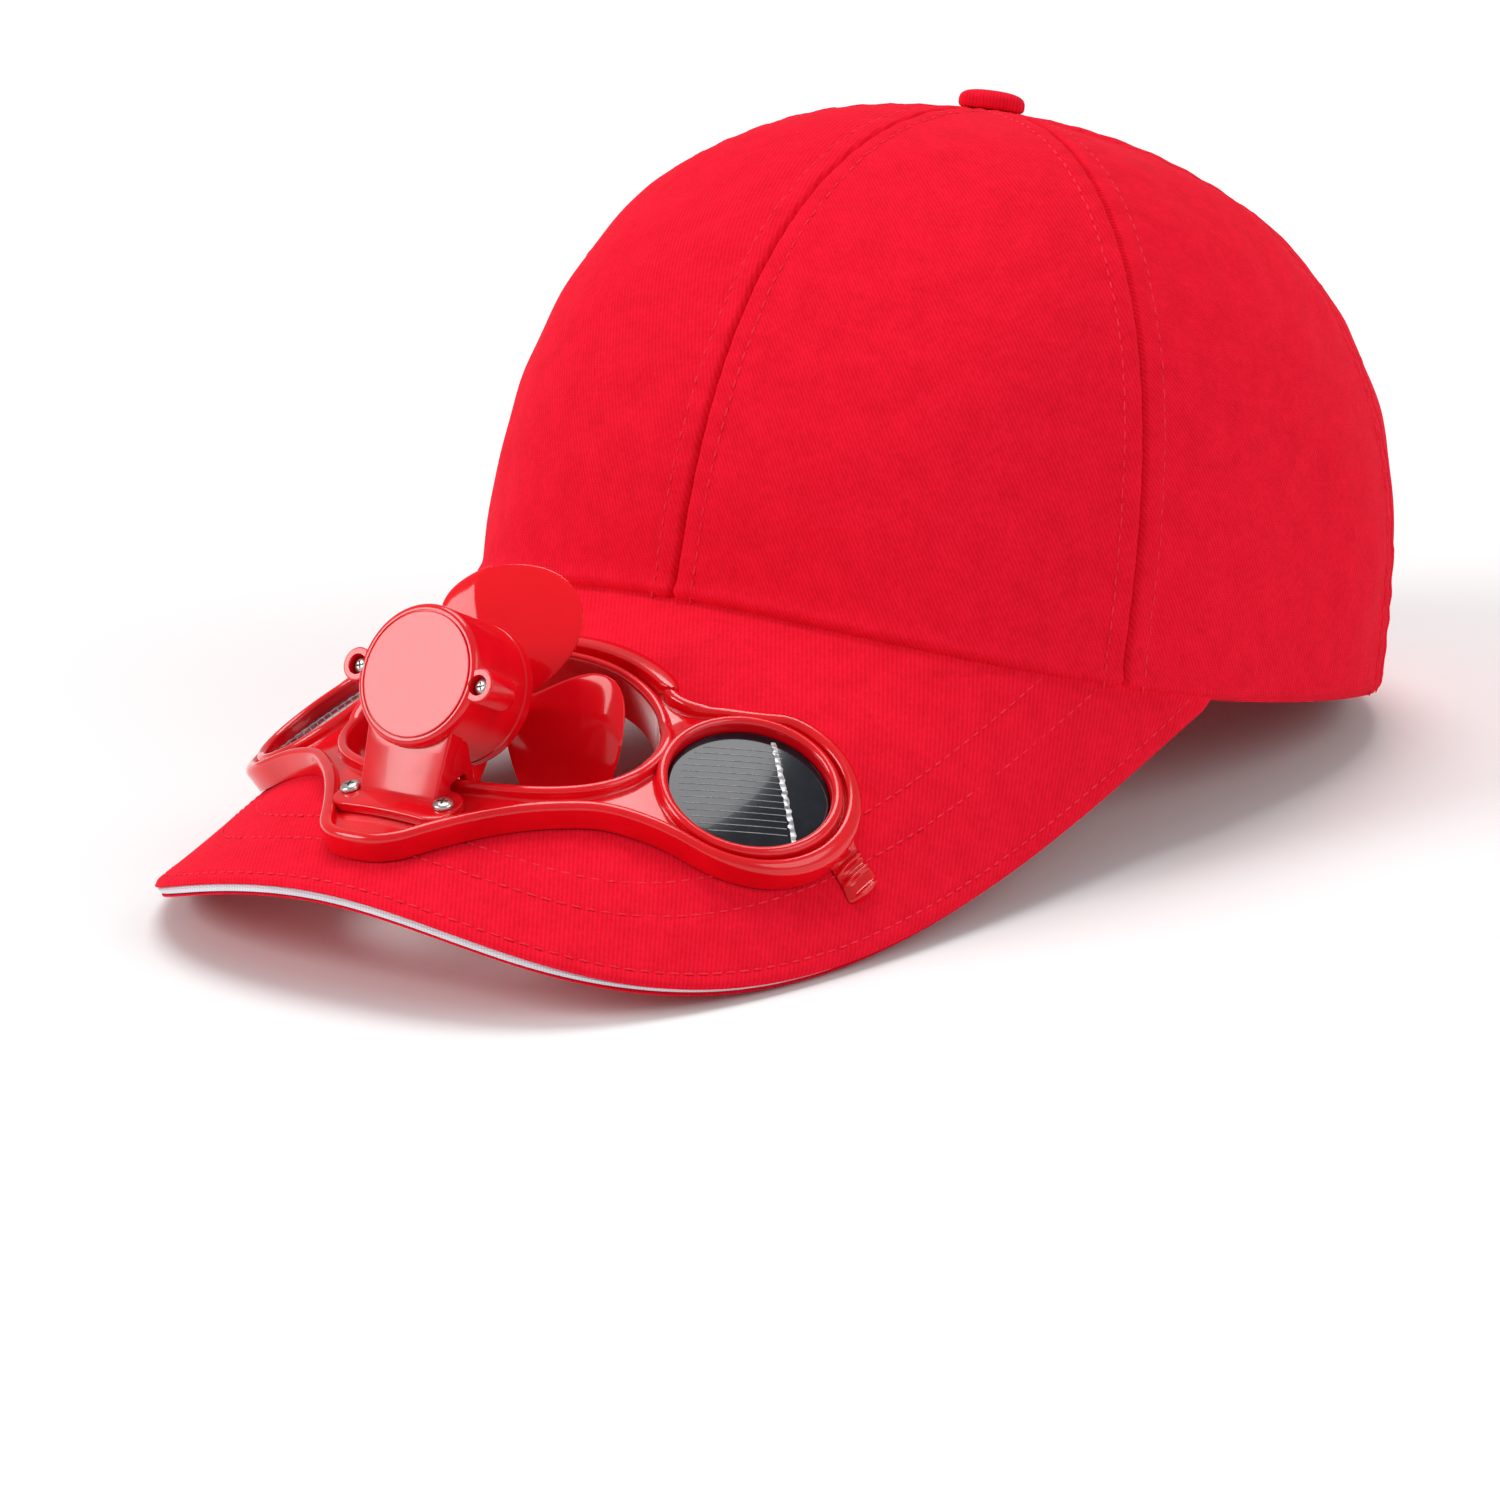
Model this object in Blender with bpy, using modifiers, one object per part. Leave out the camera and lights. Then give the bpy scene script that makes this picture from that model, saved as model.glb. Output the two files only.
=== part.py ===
"""Solar fan hat: a six-panel cloth cap with an electric fan standing in an opening of its peak.

The cap rests as it does on a table: on the two low corners of its bent peak and on the back of
the crown's lower edge, so the crown leans back. +X is the wearer's left, -Y the front, +Z up.
A goggle-shaped moulding lies on the peak. It frames the opening, holds two round solar panels
and carries the motor, whose three-bladed fan turns half above and half below the peak.
"""
from math import acos, asin, atan2, cos, hypot, pi, radians, sin, tan

import bmesh
import bpy
import numpy as np
from mathutils import Matrix, Vector

# Crown: half sizes of its outer face at the lower edge, and the powers that round it
CROWN_HALF_LENGTH = 0.092
CROWN_HALF_WIDTH = 0.088
CROWN_HEIGHT = 0.107
CROWN_PLAN_POWER = 2.45
CROWN_FRONT_POWER = 2.4
CROWN_REAR_POWER = 2.5
CROWN_SIDE_POWER = 2.7
CROWN_SHOULDER = 1.18
CROWN_TOP_SHIFT = -0.0054
CROWN_LEAN = radians(16.2)
SIDE_DROP = 0.0047
SIDE_DROP_BIAS = 0.8
PANEL_COUNT = 6
PANEL_COLUMNS = 8
PANEL_ROWS = 11
TOP_HOLE_RADIUS = 0.0025
CLOTH_THICKNESS = 0.0012
SEAM_GAP = 0.0004

# Arch cut out of the back, and the strap that closes it below
ARCH_HALF_WIDTH = 0.0345
ARCH_HEIGHT = 0.052
ARCH_POWER = 2.9
STRAP_HEIGHT = 0.0195
STRAP_THICKNESS = 0.0018
STRAP_TUCK = radians(9.0)
STRAP_CLEARANCE = 0.0008
STRAP_LIFT = 0.0004

# Button on the crown's top
BUTTON_RADIUS = 0.00665
BUTTON_HEIGHT = 0.0045

# Peak: bent round a cylinder whose ridge slopes down to the front
PEAK_BEND_RADIUS = 0.1065
PEAK_SLOPE = radians(15.2)
PEAK_REACH = 0.1148
PEAK_POWER = 3.17
PEAK_ROOT_ANGLE = radians(75.1)
PEAK_UPPER_THICKNESS = 0.0008
PEAK_SANDWICH_THICKNESS = 0.0014
PEAK_LOWER_THICKNESS = 0.0006
SANDWICH_PROUD = 0.0003
PEAK_CELL_ACROSS = 0.009
PEAK_CELL_FORWARD = 0.022

# Moulding on the peak, in its flat pattern: across from the middle, forward from the crown
OPENING_FORWARD = 0.0563
OPENING_HALF_WIDTH = 0.0333
OPENING_HALF_DEPTH = 0.0231
RIM_WIDTH = 0.0019
RIM_HEIGHT = 0.0057
WEB_HEIGHT = 0.0034
OPENING_RIM_WIDTH = 0.0028
COLLAR_WALL = 0.0012
COLLAR_PROUD = 0.0012
LOBE_MARGIN = 0.0104
REAR_BAND = 0.0074
WING_RADIUS = 0.0212
LUG_LENGTH = 0.0085
LUG_WIDTH = 0.0050
LUG_HEIGHT = 0.0022
PLATE_CELL = 0.0075

# Edge of the lobe that carries the motor: shares of the panel's place across and of the lobe's length
LOBE_EDGE = (
    (0.000, 1.000),
    (0.100, 0.982),
    (0.183, 0.900),
    (0.248, 0.760),
    (0.340, 0.575),
    (0.445, 0.398),
    (0.560, 0.245),
    (0.690, 0.110),
    (0.855, 0.035),
)
# Edge between a wing and the rear band: shares of the panel's places across and forward
WAIST_EDGE = (
    (0.750, 0.675),
    (0.605, 0.738),
    (0.510, 0.730),
)

# Solar panels
PANEL_ACROSS = 0.0514
PANEL_FORWARD = 0.0475
SOLAR_RADIUS = 0.0156
SOLAR_THICKNESS = 0.0010
SEAT_RIM_WIDTH = 0.0016

# Motor and fan: the axis leans forward out of the opening's middle
FAN_RISE = 0.0075
FAN_LEAN = radians(47.8)
FAN_RADIUS = 0.0298
BLADE_COUNT = 3
BLADE_START = radians(95)
BLADE_HALF_WIDTH = 0.0135
BLADE_WIDEST = 0.0165
BLADE_ROOT_HALF_WIDTH = 0.0034
BLADE_TIP_POWER = 2.2
BLADE_PITCH = radians(18)
BLADE_THICKNESS = 0.0011
HUB_RADIUS = 0.0042
HUB_LENGTH = 0.0080
SHAFT_RADIUS = 0.0010
SHAFT_SEAT = 0.0040
DRUM_RADIUS = 0.0140
DRUM_LENGTH = 0.0195
DRUM_BEVEL = 0.0008
DRUM_TO_HUB = 0.0023
EAR_OFFSET = 0.0146
EAR_RADIUS = 0.0034
EAR_LENGTH = 0.0100
EAR_SETBACK = 0.0010
EAR_WALL = 0.0011
EAR_RECESS = 0.0022

# Bracket that stands on the lobe and cradles the drum
FLANGE_HALF_WIDTH = 0.0136
FLANGE_CLEARANCE = 0.0008
FLANGE_DEPTH = 0.0106
FLANGE_THICKNESS = 0.0018
FLANGE_CORNER = 0.0042
NECK_HALF_WIDTH = 0.0088
NECK_DEPTH = 0.0053
NECK_SETBACK = 0.0066
CHEEK_THICKNESS = 0.0020
LEG_DEPTH = 0.0022
LEG_FOOT = 0.0010

# Screws
SCREW_HEAD_RADIUS = 0.0020
SCREW_HEAD_HEIGHT = 0.0012
SCREW_ACROSS = 0.0109

# Clearance between neighbouring pieces
GAP = 0.0003

# Places forward of the crown that follow from the sizes above
FLANGE_REAR = OPENING_FORWARD + OPENING_HALF_DEPTH + OPENING_RIM_WIDTH + FLANGE_CLEARANCE
FLANGE_FRONT = FLANGE_REAR + FLANGE_DEPTH
LOBE_REACH = FLANGE_FRONT + LOBE_MARGIN

# Segments of round pieces
DRUM_SEGMENTS = 32
SMALL_SEGMENTS = 14
OUTLINE_STEPS = 3
OVAL_SEGMENTS = 40
CIRCLE_SEGMENTS = 28

# Boolean cutters reach this far past what they cut
CUT_PAST = 0.004

# Times that the standing hat is turned to its resting tilt
REST_PASSES = 3


def clear_scene():
    """Remove every object and leave an empty scene."""
    for old in list(bpy.data.objects):
        bpy.data.objects.remove(old, do_unlink=True)


def new_collection(name):
    """A collection linked to the scene."""
    collection = bpy.data.collections.new(name)
    bpy.context.scene.collection.children.link(collection)
    return collection


def new_material(name, colour, roughness, metallic=0.0):
    """A Principled material with one plain colour."""
    material = bpy.data.materials.new(name)
    material.use_nodes = True
    shader = material.node_tree.nodes["Principled BSDF"]
    shader.inputs["Base Color"].default_value = (*colour, 1.0)
    shader.inputs["Roughness"].default_value = roughness
    shader.inputs["Metallic"].default_value = metallic
    return material


clear_scene()
HAT = new_collection("solar_fan_hat")
CUTTERS = new_collection("cutters")
RED_CLOTH = new_material("red_cloth", (0.80, 0.010, 0.026), 0.85)
WHITE_CLOTH = new_material("white_cloth", (0.80, 0.79, 0.82), 0.85)
RED_PLASTIC = new_material("red_plastic", (0.72, 0.006, 0.012), 0.22)
SOLAR_GLASS = new_material("solar_glass", (0.010, 0.014, 0.024), 0.12)
SCREW_STEEL = new_material("screw_steel", (0.62, 0.62, 0.62), 0.30, 1.0)


# Placing frames

def new_frame(name, parent, location, turn):
    """An empty that pieces are parented to, turned about the X axis."""
    frame = bpy.data.objects.new(name, None)
    frame.empty_display_size = 0.02
    frame.parent = parent
    frame.location = location
    frame.rotation_euler = (turn, 0.0, 0.0)
    HAT.objects.link(frame)
    bpy.context.view_layer.update()
    return frame


def finish(piece, name, material, frame):
    """Name a piece, give it its material and its frame, and put it in the hat's collection."""
    piece.name = name
    piece.data.name = name
    piece.data.materials.clear()
    piece.data.materials.append(material)
    piece.parent = frame
    for collection in list(piece.users_collection):
        collection.objects.unlink(piece)
    HAT.objects.link(piece)
    piece.data.shade_smooth()
    piece.data.set_sharp_from_angle(angle=radians(32))
    return piece


def make_cutter(piece, frame):
    """Keep a piece as a hidden cutter."""
    piece.parent = frame
    for collection in list(piece.users_collection):
        collection.objects.unlink(piece)
    CUTTERS.objects.link(piece)
    piece.hide_render = True
    piece.display_type = "WIRE"
    return piece


def combine(piece, other, operation):
    """Add a Boolean modifier to a piece."""
    modifier = piece.modifiers.new(operation.lower(), "BOOLEAN")
    modifier.operation = operation
    modifier.object = other
    modifier.solver = "EXACT"


def apply_modifiers(piece, used_up=()):
    """Replace a piece's mesh by its evaluated one, and remove the objects it used up."""
    bpy.context.view_layer.update()
    graph = bpy.context.evaluated_depsgraph_get()
    mesh = bpy.data.meshes.new_from_object(piece.evaluated_get(graph))
    piece.modifiers.clear()
    piece.data = mesh
    for other in used_up:
        bpy.data.objects.remove(other, do_unlink=True)
    return piece


# Crown

def crown_power(angle):
    """Power of the meridian at an angle from the front."""
    front = max(cos(angle), 0.0) ** 2
    rear = min(cos(angle), 0.0) ** 2
    return CROWN_FRONT_POWER * front + CROWN_REAR_POWER * rear + CROWN_SIDE_POWER * sin(angle) ** 2


def crown_point(angle, rise):
    """Point of the crown's outer face; rise is a share of the crown's height."""
    power = crown_power(angle)
    share = min(max(rise, 0.0), 1.0)
    spread = (1.0 - share ** power) ** (CROWN_SHOULDER / power)
    plan = abs(sin(angle)) ** CROWN_PLAN_POWER + abs(cos(angle)) ** CROWN_PLAN_POWER
    spread *= plan ** (-1.0 / CROWN_PLAN_POWER)
    return Vector((
        CROWN_HALF_WIDTH * spread * sin(angle),
        -CROWN_HALF_LENGTH * spread * cos(angle) + CROWN_TOP_SHIFT * share ** 2,
        CROWN_HEIGHT * rise,
    ))


def edge_rise(angle):
    """Rise of the crown's lower edge, which dips at the sides."""
    return -SIDE_DROP * sin(angle) ** 2 * (1.0 + SIDE_DROP_BIAS * cos(angle)) / CROWN_HEIGHT


def crown_inward(angle, rise):
    """Unit vector from the crown's outer face into its wall."""
    step = 0.001
    along = crown_point(angle + step, rise) - crown_point(angle - step, rise)
    upward = crown_point(angle, rise + step) - crown_point(angle, max(rise - step, 0.0))
    return along.cross(upward).normalized() * -1.0


def row_rises(angle):
    """Rises of a panel's rows, from the lower edge to the hole under the button."""
    power = crown_power(angle)
    top_share = (TOP_HOLE_RADIUS / CROWN_HALF_WIDTH) ** (power / (2.0 * CROWN_SHOULDER))
    top_turn = acos(top_share)
    rises = [edge_rise(angle)]
    for row in range(1, PANEL_ROWS + 1):
        rises.append(sin(top_turn * row / PANEL_ROWS) ** (2.0 / power))
    return rises


def sheet_object(name, rows, thickness):
    """A shell of the given thickness under a grid of points whose normals point out."""
    width = len(rows[0])
    points = [point for row in rows for point in row]
    faces = []
    for row in range(len(rows) - 1):
        for column in range(width - 1):
            corner = row * width + column
            faces.append((corner, corner + 1, corner + width + 1, corner + width))
    mesh = bpy.data.meshes.new(name)
    mesh.from_pydata(points, [], faces)
    sheet = bpy.data.objects.new(name, mesh)
    HAT.objects.link(sheet)
    solidify = sheet.modifiers.new("thickness", "SOLIDIFY")
    solidify.thickness = thickness
    solidify.offset = -1.0
    return sheet


def crown_panel(name, number, frame):
    """One sewn panel, half a seam gap clear of each neighbour."""
    first = 2.0 * pi * number / PANEL_COUNT
    last = 2.0 * pi * (number + 1) / PANEL_COUNT
    columns = []
    for column in range(PANEL_COLUMNS + 1):
        angle = first + (last - first) * column / PANEL_COLUMNS
        columns.append([crown_point(angle, rise) for rise in row_rises(angle)])
    rows = []
    for row in range(PANEL_ROWS + 1):
        line = [column[row] for column in columns]
        start = (line[1] - line[0]).normalized() * SEAM_GAP / 2.0
        end = (line[-1] - line[-2]).normalized() * SEAM_GAP / 2.0
        line[0] = line[0] + start
        line[-1] = line[-1] - end
        rows.append(line)
    panel = sheet_object(name, rows, CLOTH_THICKNESS)
    return finish(panel, name, RED_CLOTH, frame)


def arch_cutter(frame):
    """Prism that cuts the arch out of the two rear panels."""
    outline = []
    for step in range(OVAL_SEGMENTS + 1):
        turn = pi * step / OVAL_SEGMENTS
        across = abs(cos(turn)) ** (2.0 / ARCH_POWER) * (1 if cos(turn) > 0 else -1)
        outline.append((ARCH_HALF_WIDTH * across, ARCH_HEIGHT * sin(turn) ** (2.0 / ARCH_POWER)))
    outline.append((-ARCH_HALF_WIDTH, -ARCH_HEIGHT))
    outline.append((ARCH_HALF_WIDTH, -ARCH_HEIGHT))
    cutter = slab("arch_cutter", [outline], CROWN_HALF_LENGTH / 3.0, CROWN_HALF_LENGTH * 2.0)
    cutter.data.transform(Matrix.Rotation(radians(90), 4, "X"))
    cutter.data.transform(Matrix.Rotation(radians(180), 4, "Z"))
    return make_cutter(cutter, frame)


def closure_strap(frame):
    """Strap across the arch, tucked behind the rear panels at both ends."""
    reach = asin(ARCH_HALF_WIDTH / CROWN_HALF_LENGTH) + STRAP_TUCK
    lift = STRAP_LIFT / CROWN_HEIGHT
    rows = []
    for row in range(3):
        line = []
        for column in range(2 * PANEL_COLUMNS + 1):
            angle = pi - reach + 2.0 * reach * column / (2 * PANEL_COLUMNS)
            rise = max(edge_rise(angle), 0.0) + lift + STRAP_HEIGHT / CROWN_HEIGHT * row / 2.0
            inward = crown_inward(angle, rise)
            line.append(crown_point(angle, rise) + inward * (CLOTH_THICKNESS + STRAP_CLEARANCE))
        rows.append(line)
    strap = sheet_object("closure_strap", rows, STRAP_THICKNESS)
    return finish(strap, "closure_strap", RED_CLOTH, frame)


def top_button(frame):
    """Low cloth-covered button over the hole where the panels meet."""
    seat = crown_point(0.0, 1.0) + Vector((0.0, 0.0, GAP))
    profile = [(0.0, BUTTON_HEIGHT)]
    for step in range(1, 6):
        turn = radians(90) * step / 5
        profile.append((BUTTON_RADIUS * sin(turn) ** 0.8, BUTTON_HEIGHT * (0.2 + 0.8 * cos(turn) ** 0.8)))
    profile.append((BUTTON_RADIUS * 0.96, 0.0))
    profile.append((0.0, 0.0))
    button = turned("top_button", profile, 20)
    button.location = seat
    return finish(button, "top_button", RED_CLOTH, frame)


# Flat and turned shapes

def slab(name, outlines, bottom, top):
    """A flat piece between two heights; outlines after the first are holes."""
    curve = bpy.data.curves.new(name, "CURVE")
    curve.dimensions = "2D"
    curve.fill_mode = "BOTH"
    curve.extrude = (top - bottom) / 2.0
    for outline in outlines:
        spline = curve.splines.new("POLY")
        spline.points.add(len(outline) - 1)
        spline.use_cyclic_u = True
        for point, place in zip(spline.points, outline):
            point.co = (place[0], place[1], 0.0, 1.0)
    source = bpy.data.objects.new(name, curve)
    HAT.objects.link(source)
    bpy.context.view_layer.update()
    graph = bpy.context.evaluated_depsgraph_get()
    mesh = bpy.data.meshes.new_from_object(source.evaluated_get(graph))
    bpy.data.objects.remove(source, do_unlink=True)
    shape = bmesh.new()
    shape.from_mesh(mesh)
    bmesh.ops.remove_doubles(shape, verts=shape.verts, dist=1e-6)
    bmesh.ops.recalc_face_normals(shape, faces=shape.faces)
    bmesh.ops.translate(shape, verts=shape.verts, vec=(0.0, 0.0, (bottom + top) / 2.0))
    shape.to_mesh(mesh)
    shape.free()
    piece = bpy.data.objects.new(name, mesh)
    HAT.objects.link(piece)
    return piece


def turned(name, profile, segments):
    """A body of revolution about Z; the profile runs top to bottom as (radius, height)."""
    mesh = bpy.data.meshes.new(name)
    points = [(radius, 0.0, height) for radius, height in profile]
    edges = [(index, index + 1) for index in range(len(points) - 1)]
    mesh.from_pydata(points, edges, [])
    piece = bpy.data.objects.new(name, mesh)
    HAT.objects.link(piece)
    screw = piece.modifiers.new("turn", "SCREW")
    screw.steps = segments
    screw.render_steps = segments
    screw.use_merge_vertices = True
    screw.merge_threshold = 1e-6
    return apply_modifiers(piece)


def cylinder(name, radius, bottom, top, segments, centre=(0.0, 0.0)):
    """A capped cylinder along Z."""
    shape = bmesh.new()
    bmesh.ops.create_cone(
        shape, cap_ends=True, segments=segments, radius1=radius, radius2=radius, depth=top - bottom,
        matrix=Matrix.Translation((centre[0], centre[1], (bottom + top) / 2.0)),
    )
    mesh = bpy.data.meshes.new(name)
    shape.to_mesh(mesh)
    shape.free()
    piece = bpy.data.objects.new(name, mesh)
    HAT.objects.link(piece)
    return piece


def oval(half_width, half_depth, segments=OVAL_SEGMENTS, centre=(0.0, -OPENING_FORWARD)):
    """Outline of an oval in the flat pattern."""
    outline = []
    for step in range(segments):
        turn = 2.0 * pi * step / segments
        outline.append((centre[0] + half_width * cos(turn), centre[1] + half_depth * sin(turn)))
    return outline


def smooth_through(points, steps):
    """Points of a smooth open curve through the given ones."""
    ends = [points[0]] + list(points) + [points[-1]]
    result = []
    for index in range(1, len(ends) - 2):
        before, start, end, after = (np.array(ends[index + k - 1]) for k in range(4))
        for step in range(steps):
            t = step / steps
            place = start + 0.5 * t * (end - before)
            place = place + 0.5 * t ** 2 * (2.0 * before - 5.0 * start + 4.0 * end - after)
            place = place + 0.5 * t ** 3 * (3.0 * start - before - 3.0 * end + after)
            result.append(tuple(place))
    result.append(tuple(points[-1]))
    return result


def inset(outline, distance):
    """An outline moved inward, each point along the middle of its neighbours' normals."""
    places = np.array(outline)
    before = places - np.roll(places, 1, axis=0)
    after = np.roll(places, -1, axis=0) - places
    tangent = before / np.linalg.norm(before, axis=1)[:, None]
    tangent = tangent + after / np.linalg.norm(after, axis=1)[:, None]
    tangent = tangent / np.linalg.norm(tangent, axis=1)[:, None]
    area = np.sum(places[:, 0] * np.roll(places[:, 1], -1) - places[:, 1] * np.roll(places[:, 0], -1))
    left = np.stack([-tangent[:, 1], tangent[:, 0]], axis=1)
    return [tuple(place) for place in places + left * distance * np.sign(area)]


# Peak

def seam_table(crown, peak):
    """The crown's lower edge in the peak's flat pattern: across, forward and lift over the bend."""
    crown_to_peak = peak.matrix_world.inverted() @ crown.matrix_world
    across, forward, lift = [], [], []
    for angle in np.linspace(-PEAK_ROOT_ANGLE, PEAK_ROOT_ANGLE, 41):
        point = crown_to_peak @ crown_point(angle, edge_rise(angle))
        height = point.z + PEAK_BEND_RADIUS
        across.append(PEAK_BEND_RADIUS * atan2(point.x, height))
        forward.append(-point.y)
        lift.append(hypot(point.x, height) - PEAK_BEND_RADIUS)
    return np.array(across), np.array(forward), np.array(lift)


def peak_edge_forward(across, root_across, root_forward):
    """How far forward the peak's outer edge lies at a place across."""
    share = min(abs(across) / root_across, 1.0)
    return root_forward + (PEAK_REACH - root_forward) * (1.0 - share ** PEAK_POWER) ** (1.0 / PEAK_POWER)


def on_peak(across, forward, height):
    """Place in the peak's frame of a point of the flat pattern, so many metres over the cloth."""
    seam_forward = np.interp(across, SEAM_ACROSS, SEAM_FORWARD)
    lift = np.interp(across, SEAM_ACROSS, SEAM_LIFT)
    edge_forward = peak_edge_forward(across, SEAM_ACROSS[-1], SEAM_FORWARD[-1])
    share = (forward - seam_forward) / max(edge_forward - seam_forward, GAP)
    share = min(max(share, 0.0), 1.0)
    radius = PEAK_BEND_RADIUS + height + lift * (1.0 - share) ** 2
    turn = across / PEAK_BEND_RADIUS
    return Vector((radius * sin(turn), -forward, radius * cos(turn) - PEAK_BEND_RADIUS))


def on_plate(across, forward, height):
    """The same for the moulding, which is flat where a solar panel sits."""
    bent = on_peak(across, forward, height)
    side = 1.0 if across > 0.0 else -1.0
    away = hypot(abs(across) - PANEL_ACROSS, forward - PANEL_FORWARD)
    flat_radius = SOLAR_RADIUS + GAP + SEAT_RIM_WIDTH
    share = (WING_RADIUS - away) / (WING_RADIUS - flat_radius)
    share = min(max(share, 0.0), 1.0)
    flat = seat_matrix(side) @ Vector((across - side * PANEL_ACROSS, PANEL_FORWARD - forward, height))
    return bent.lerp(flat, share)


def seat_matrix(side):
    """Frame of a solar panel's seat in the peak's frame: Z leaves the peak."""
    half = SOLAR_RADIUS
    across = side * PANEL_ACROSS
    centre = on_peak(across, PANEL_FORWARD, 0.0)
    along_x = on_peak(across + half, PANEL_FORWARD, 0.0) - on_peak(across - half, PANEL_FORWARD, 0.0)
    along_y = on_peak(across, PANEL_FORWARD - half, 0.0) - on_peak(across, PANEL_FORWARD + half, 0.0)
    x_axis = along_x.normalized()
    z_axis = x_axis.cross(along_y).normalized()
    y_axis = z_axis.cross(x_axis)
    return Matrix.Translation(centre) @ Matrix((x_axis, y_axis, z_axis)).transposed().to_4x4()


def shape_onto(piece, place, cell_across, cell_forward=None):
    """Cut a flat piece into cells, merge what is flat in each, and move the points in place."""
    shape = bmesh.new()
    shape.from_mesh(piece.data)
    cuts = [(0, cell_across)]
    if cell_forward:
        cuts.append((1, cell_forward))
    for axis, cell in cuts:
        places = [vertex.co[axis] for vertex in shape.verts]
        first = int(np.ceil(min(places) / cell))
        last = int(np.floor(max(places) / cell))
        for index in range(first, last + 1):
            origin = [0.0, 0.0, 0.0]
            normal = [0.0, 0.0, 0.0]
            origin[axis] = index * cell
            normal[axis] = 1.0
            everything = list(shape.verts) + list(shape.edges) + list(shape.faces)
            cut = bmesh.ops.bisect_plane(shape, geom=everything, dist=1e-6, plane_co=origin, plane_no=normal)
            for edge in cut["geom_cut"]:
                if isinstance(edge, bmesh.types.BMEdge):
                    edge.seam = True
    bmesh.ops.dissolve_limit(
        shape, angle_limit=radians(0.1), verts=shape.verts, edges=shape.edges, delimit={"SEAM"},
    )
    for edge in shape.edges:
        edge.seam = False
    bmesh.ops.triangulate(shape, faces=shape.faces)
    for vertex in shape.verts:
        vertex.co = place(vertex.co.x, -vertex.co.y, vertex.co.z)
    shape.to_mesh(piece.data)
    shape.free()
    return piece


def peak_outline():
    """The peak's flat outline, a seam gap clear of the crown's lower edge."""
    seam = np.stack([SEAM_ACROSS, SEAM_FORWARD], axis=1)
    tangent = np.gradient(seam, axis=0)
    tangent = tangent / np.linalg.norm(tangent, axis=1)[:, None]
    seam = seam + np.stack([-tangent[:, 1], tangent[:, 0]], axis=1) * SEAM_GAP
    root_across, root_forward = seam[-1]
    edge = []
    for step in range(1, OVAL_SEGMENTS):
        turn = pi * step / OVAL_SEGMENTS - pi / 2.0
        across = root_across * abs(sin(turn)) ** (2.0 / PEAK_POWER) * (1 if turn > 0 else -1)
        edge.append((across, peak_edge_forward(across, root_across, root_forward)))
    outline = [(across, -forward) for across, forward in seam[::2]]
    outline += [(across, -forward) for across, forward in reversed(edge)]
    return outline


def peak_sheet(name, top, thickness, proud, material, frame):
    """One layer of the peak, with the hole that the moulding's collar passes through."""
    outline = peak_outline()
    if proud:
        outline = inset(outline, -proud)
        seam_count = len(SEAM_ACROSS[::2])
        outline = peak_outline()[:seam_count] + outline[seam_count:]
    hole = oval(
        OPENING_HALF_WIDTH + COLLAR_WALL + GAP,
        OPENING_HALF_DEPTH + COLLAR_WALL + GAP,
    )
    sheet = slab(name, [outline, hole], -top - thickness, -top)
    shape_onto(sheet, on_peak, PEAK_CELL_ACROSS, PEAK_CELL_FORWARD)
    return finish(sheet, name, material, frame)


# Moulding

def wing_arc(radius, first, last, steps):
    """Part of the circle round a wing, as angles from +across towards forward."""
    arc = []
    for step in range(steps + 1):
        turn = first + (last - first) * step / steps
        arc.append((PANEL_ACROSS + radius * cos(turn), PANEL_FORWARD + radius * sin(turn)))
    return arc


def plate_outline():
    """The moulding's outline: lobe, wing, waist and rear band on one side, mirrored to the other."""
    lobe_start = PANEL_FORWARD + WING_RADIUS
    lobe = [
        (share_across * PANEL_ACROSS, lobe_start + share * (LOBE_REACH - lobe_start))
        for share_across, share in LOBE_EDGE
    ]
    wing = wing_arc(WING_RADIUS, radians(90), radians(-105), 18)
    waist = [(across * PANEL_ACROSS, forward * PANEL_FORWARD) for across, forward in WAIST_EDGE]
    band_width = OPENING_HALF_WIDTH + REAR_BAND
    band_depth = OPENING_HALF_DEPTH + REAR_BAND
    band = []
    for step in range(7):
        turn = radians(36) * (6 - step) / 6
        band.append((band_width * sin(turn), OPENING_FORWARD - band_depth * cos(turn)))
    half = smooth_through(lobe + [wing[0]], OUTLINE_STEPS)
    half += wing[1:-1]
    half += smooth_through([wing[-1]] + waist, OUTLINE_STEPS)
    half += band
    right = [(across, -forward) for across, forward in half]
    left = [(-across, -forward) for across, forward in reversed(half[1:-1])]
    return right + left


def lug(side):
    """Small tongue past a wing's end."""
    inner = PANEL_ACROSS + WING_RADIUS - RIM_WIDTH
    outer = PANEL_ACROSS + WING_RADIUS + LUG_LENGTH
    corner = LUG_WIDTH / 3.0
    outline = [
        (side * inner, -PANEL_FORWARD - LUG_WIDTH / 2.0),
        (side * (outer - corner), -PANEL_FORWARD - LUG_WIDTH / 2.0),
        (side * outer, -PANEL_FORWARD - LUG_WIDTH / 2.0 + corner),
        (side * outer, -PANEL_FORWARD + LUG_WIDTH / 2.0 - corner),
        (side * (outer - corner), -PANEL_FORWARD + LUG_WIDTH / 2.0),
        (side * inner, -PANEL_FORWARD + LUG_WIDTH / 2.0),
    ]
    return slab("lug", [outline], GAP * 1.5, LUG_HEIGHT)


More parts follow.
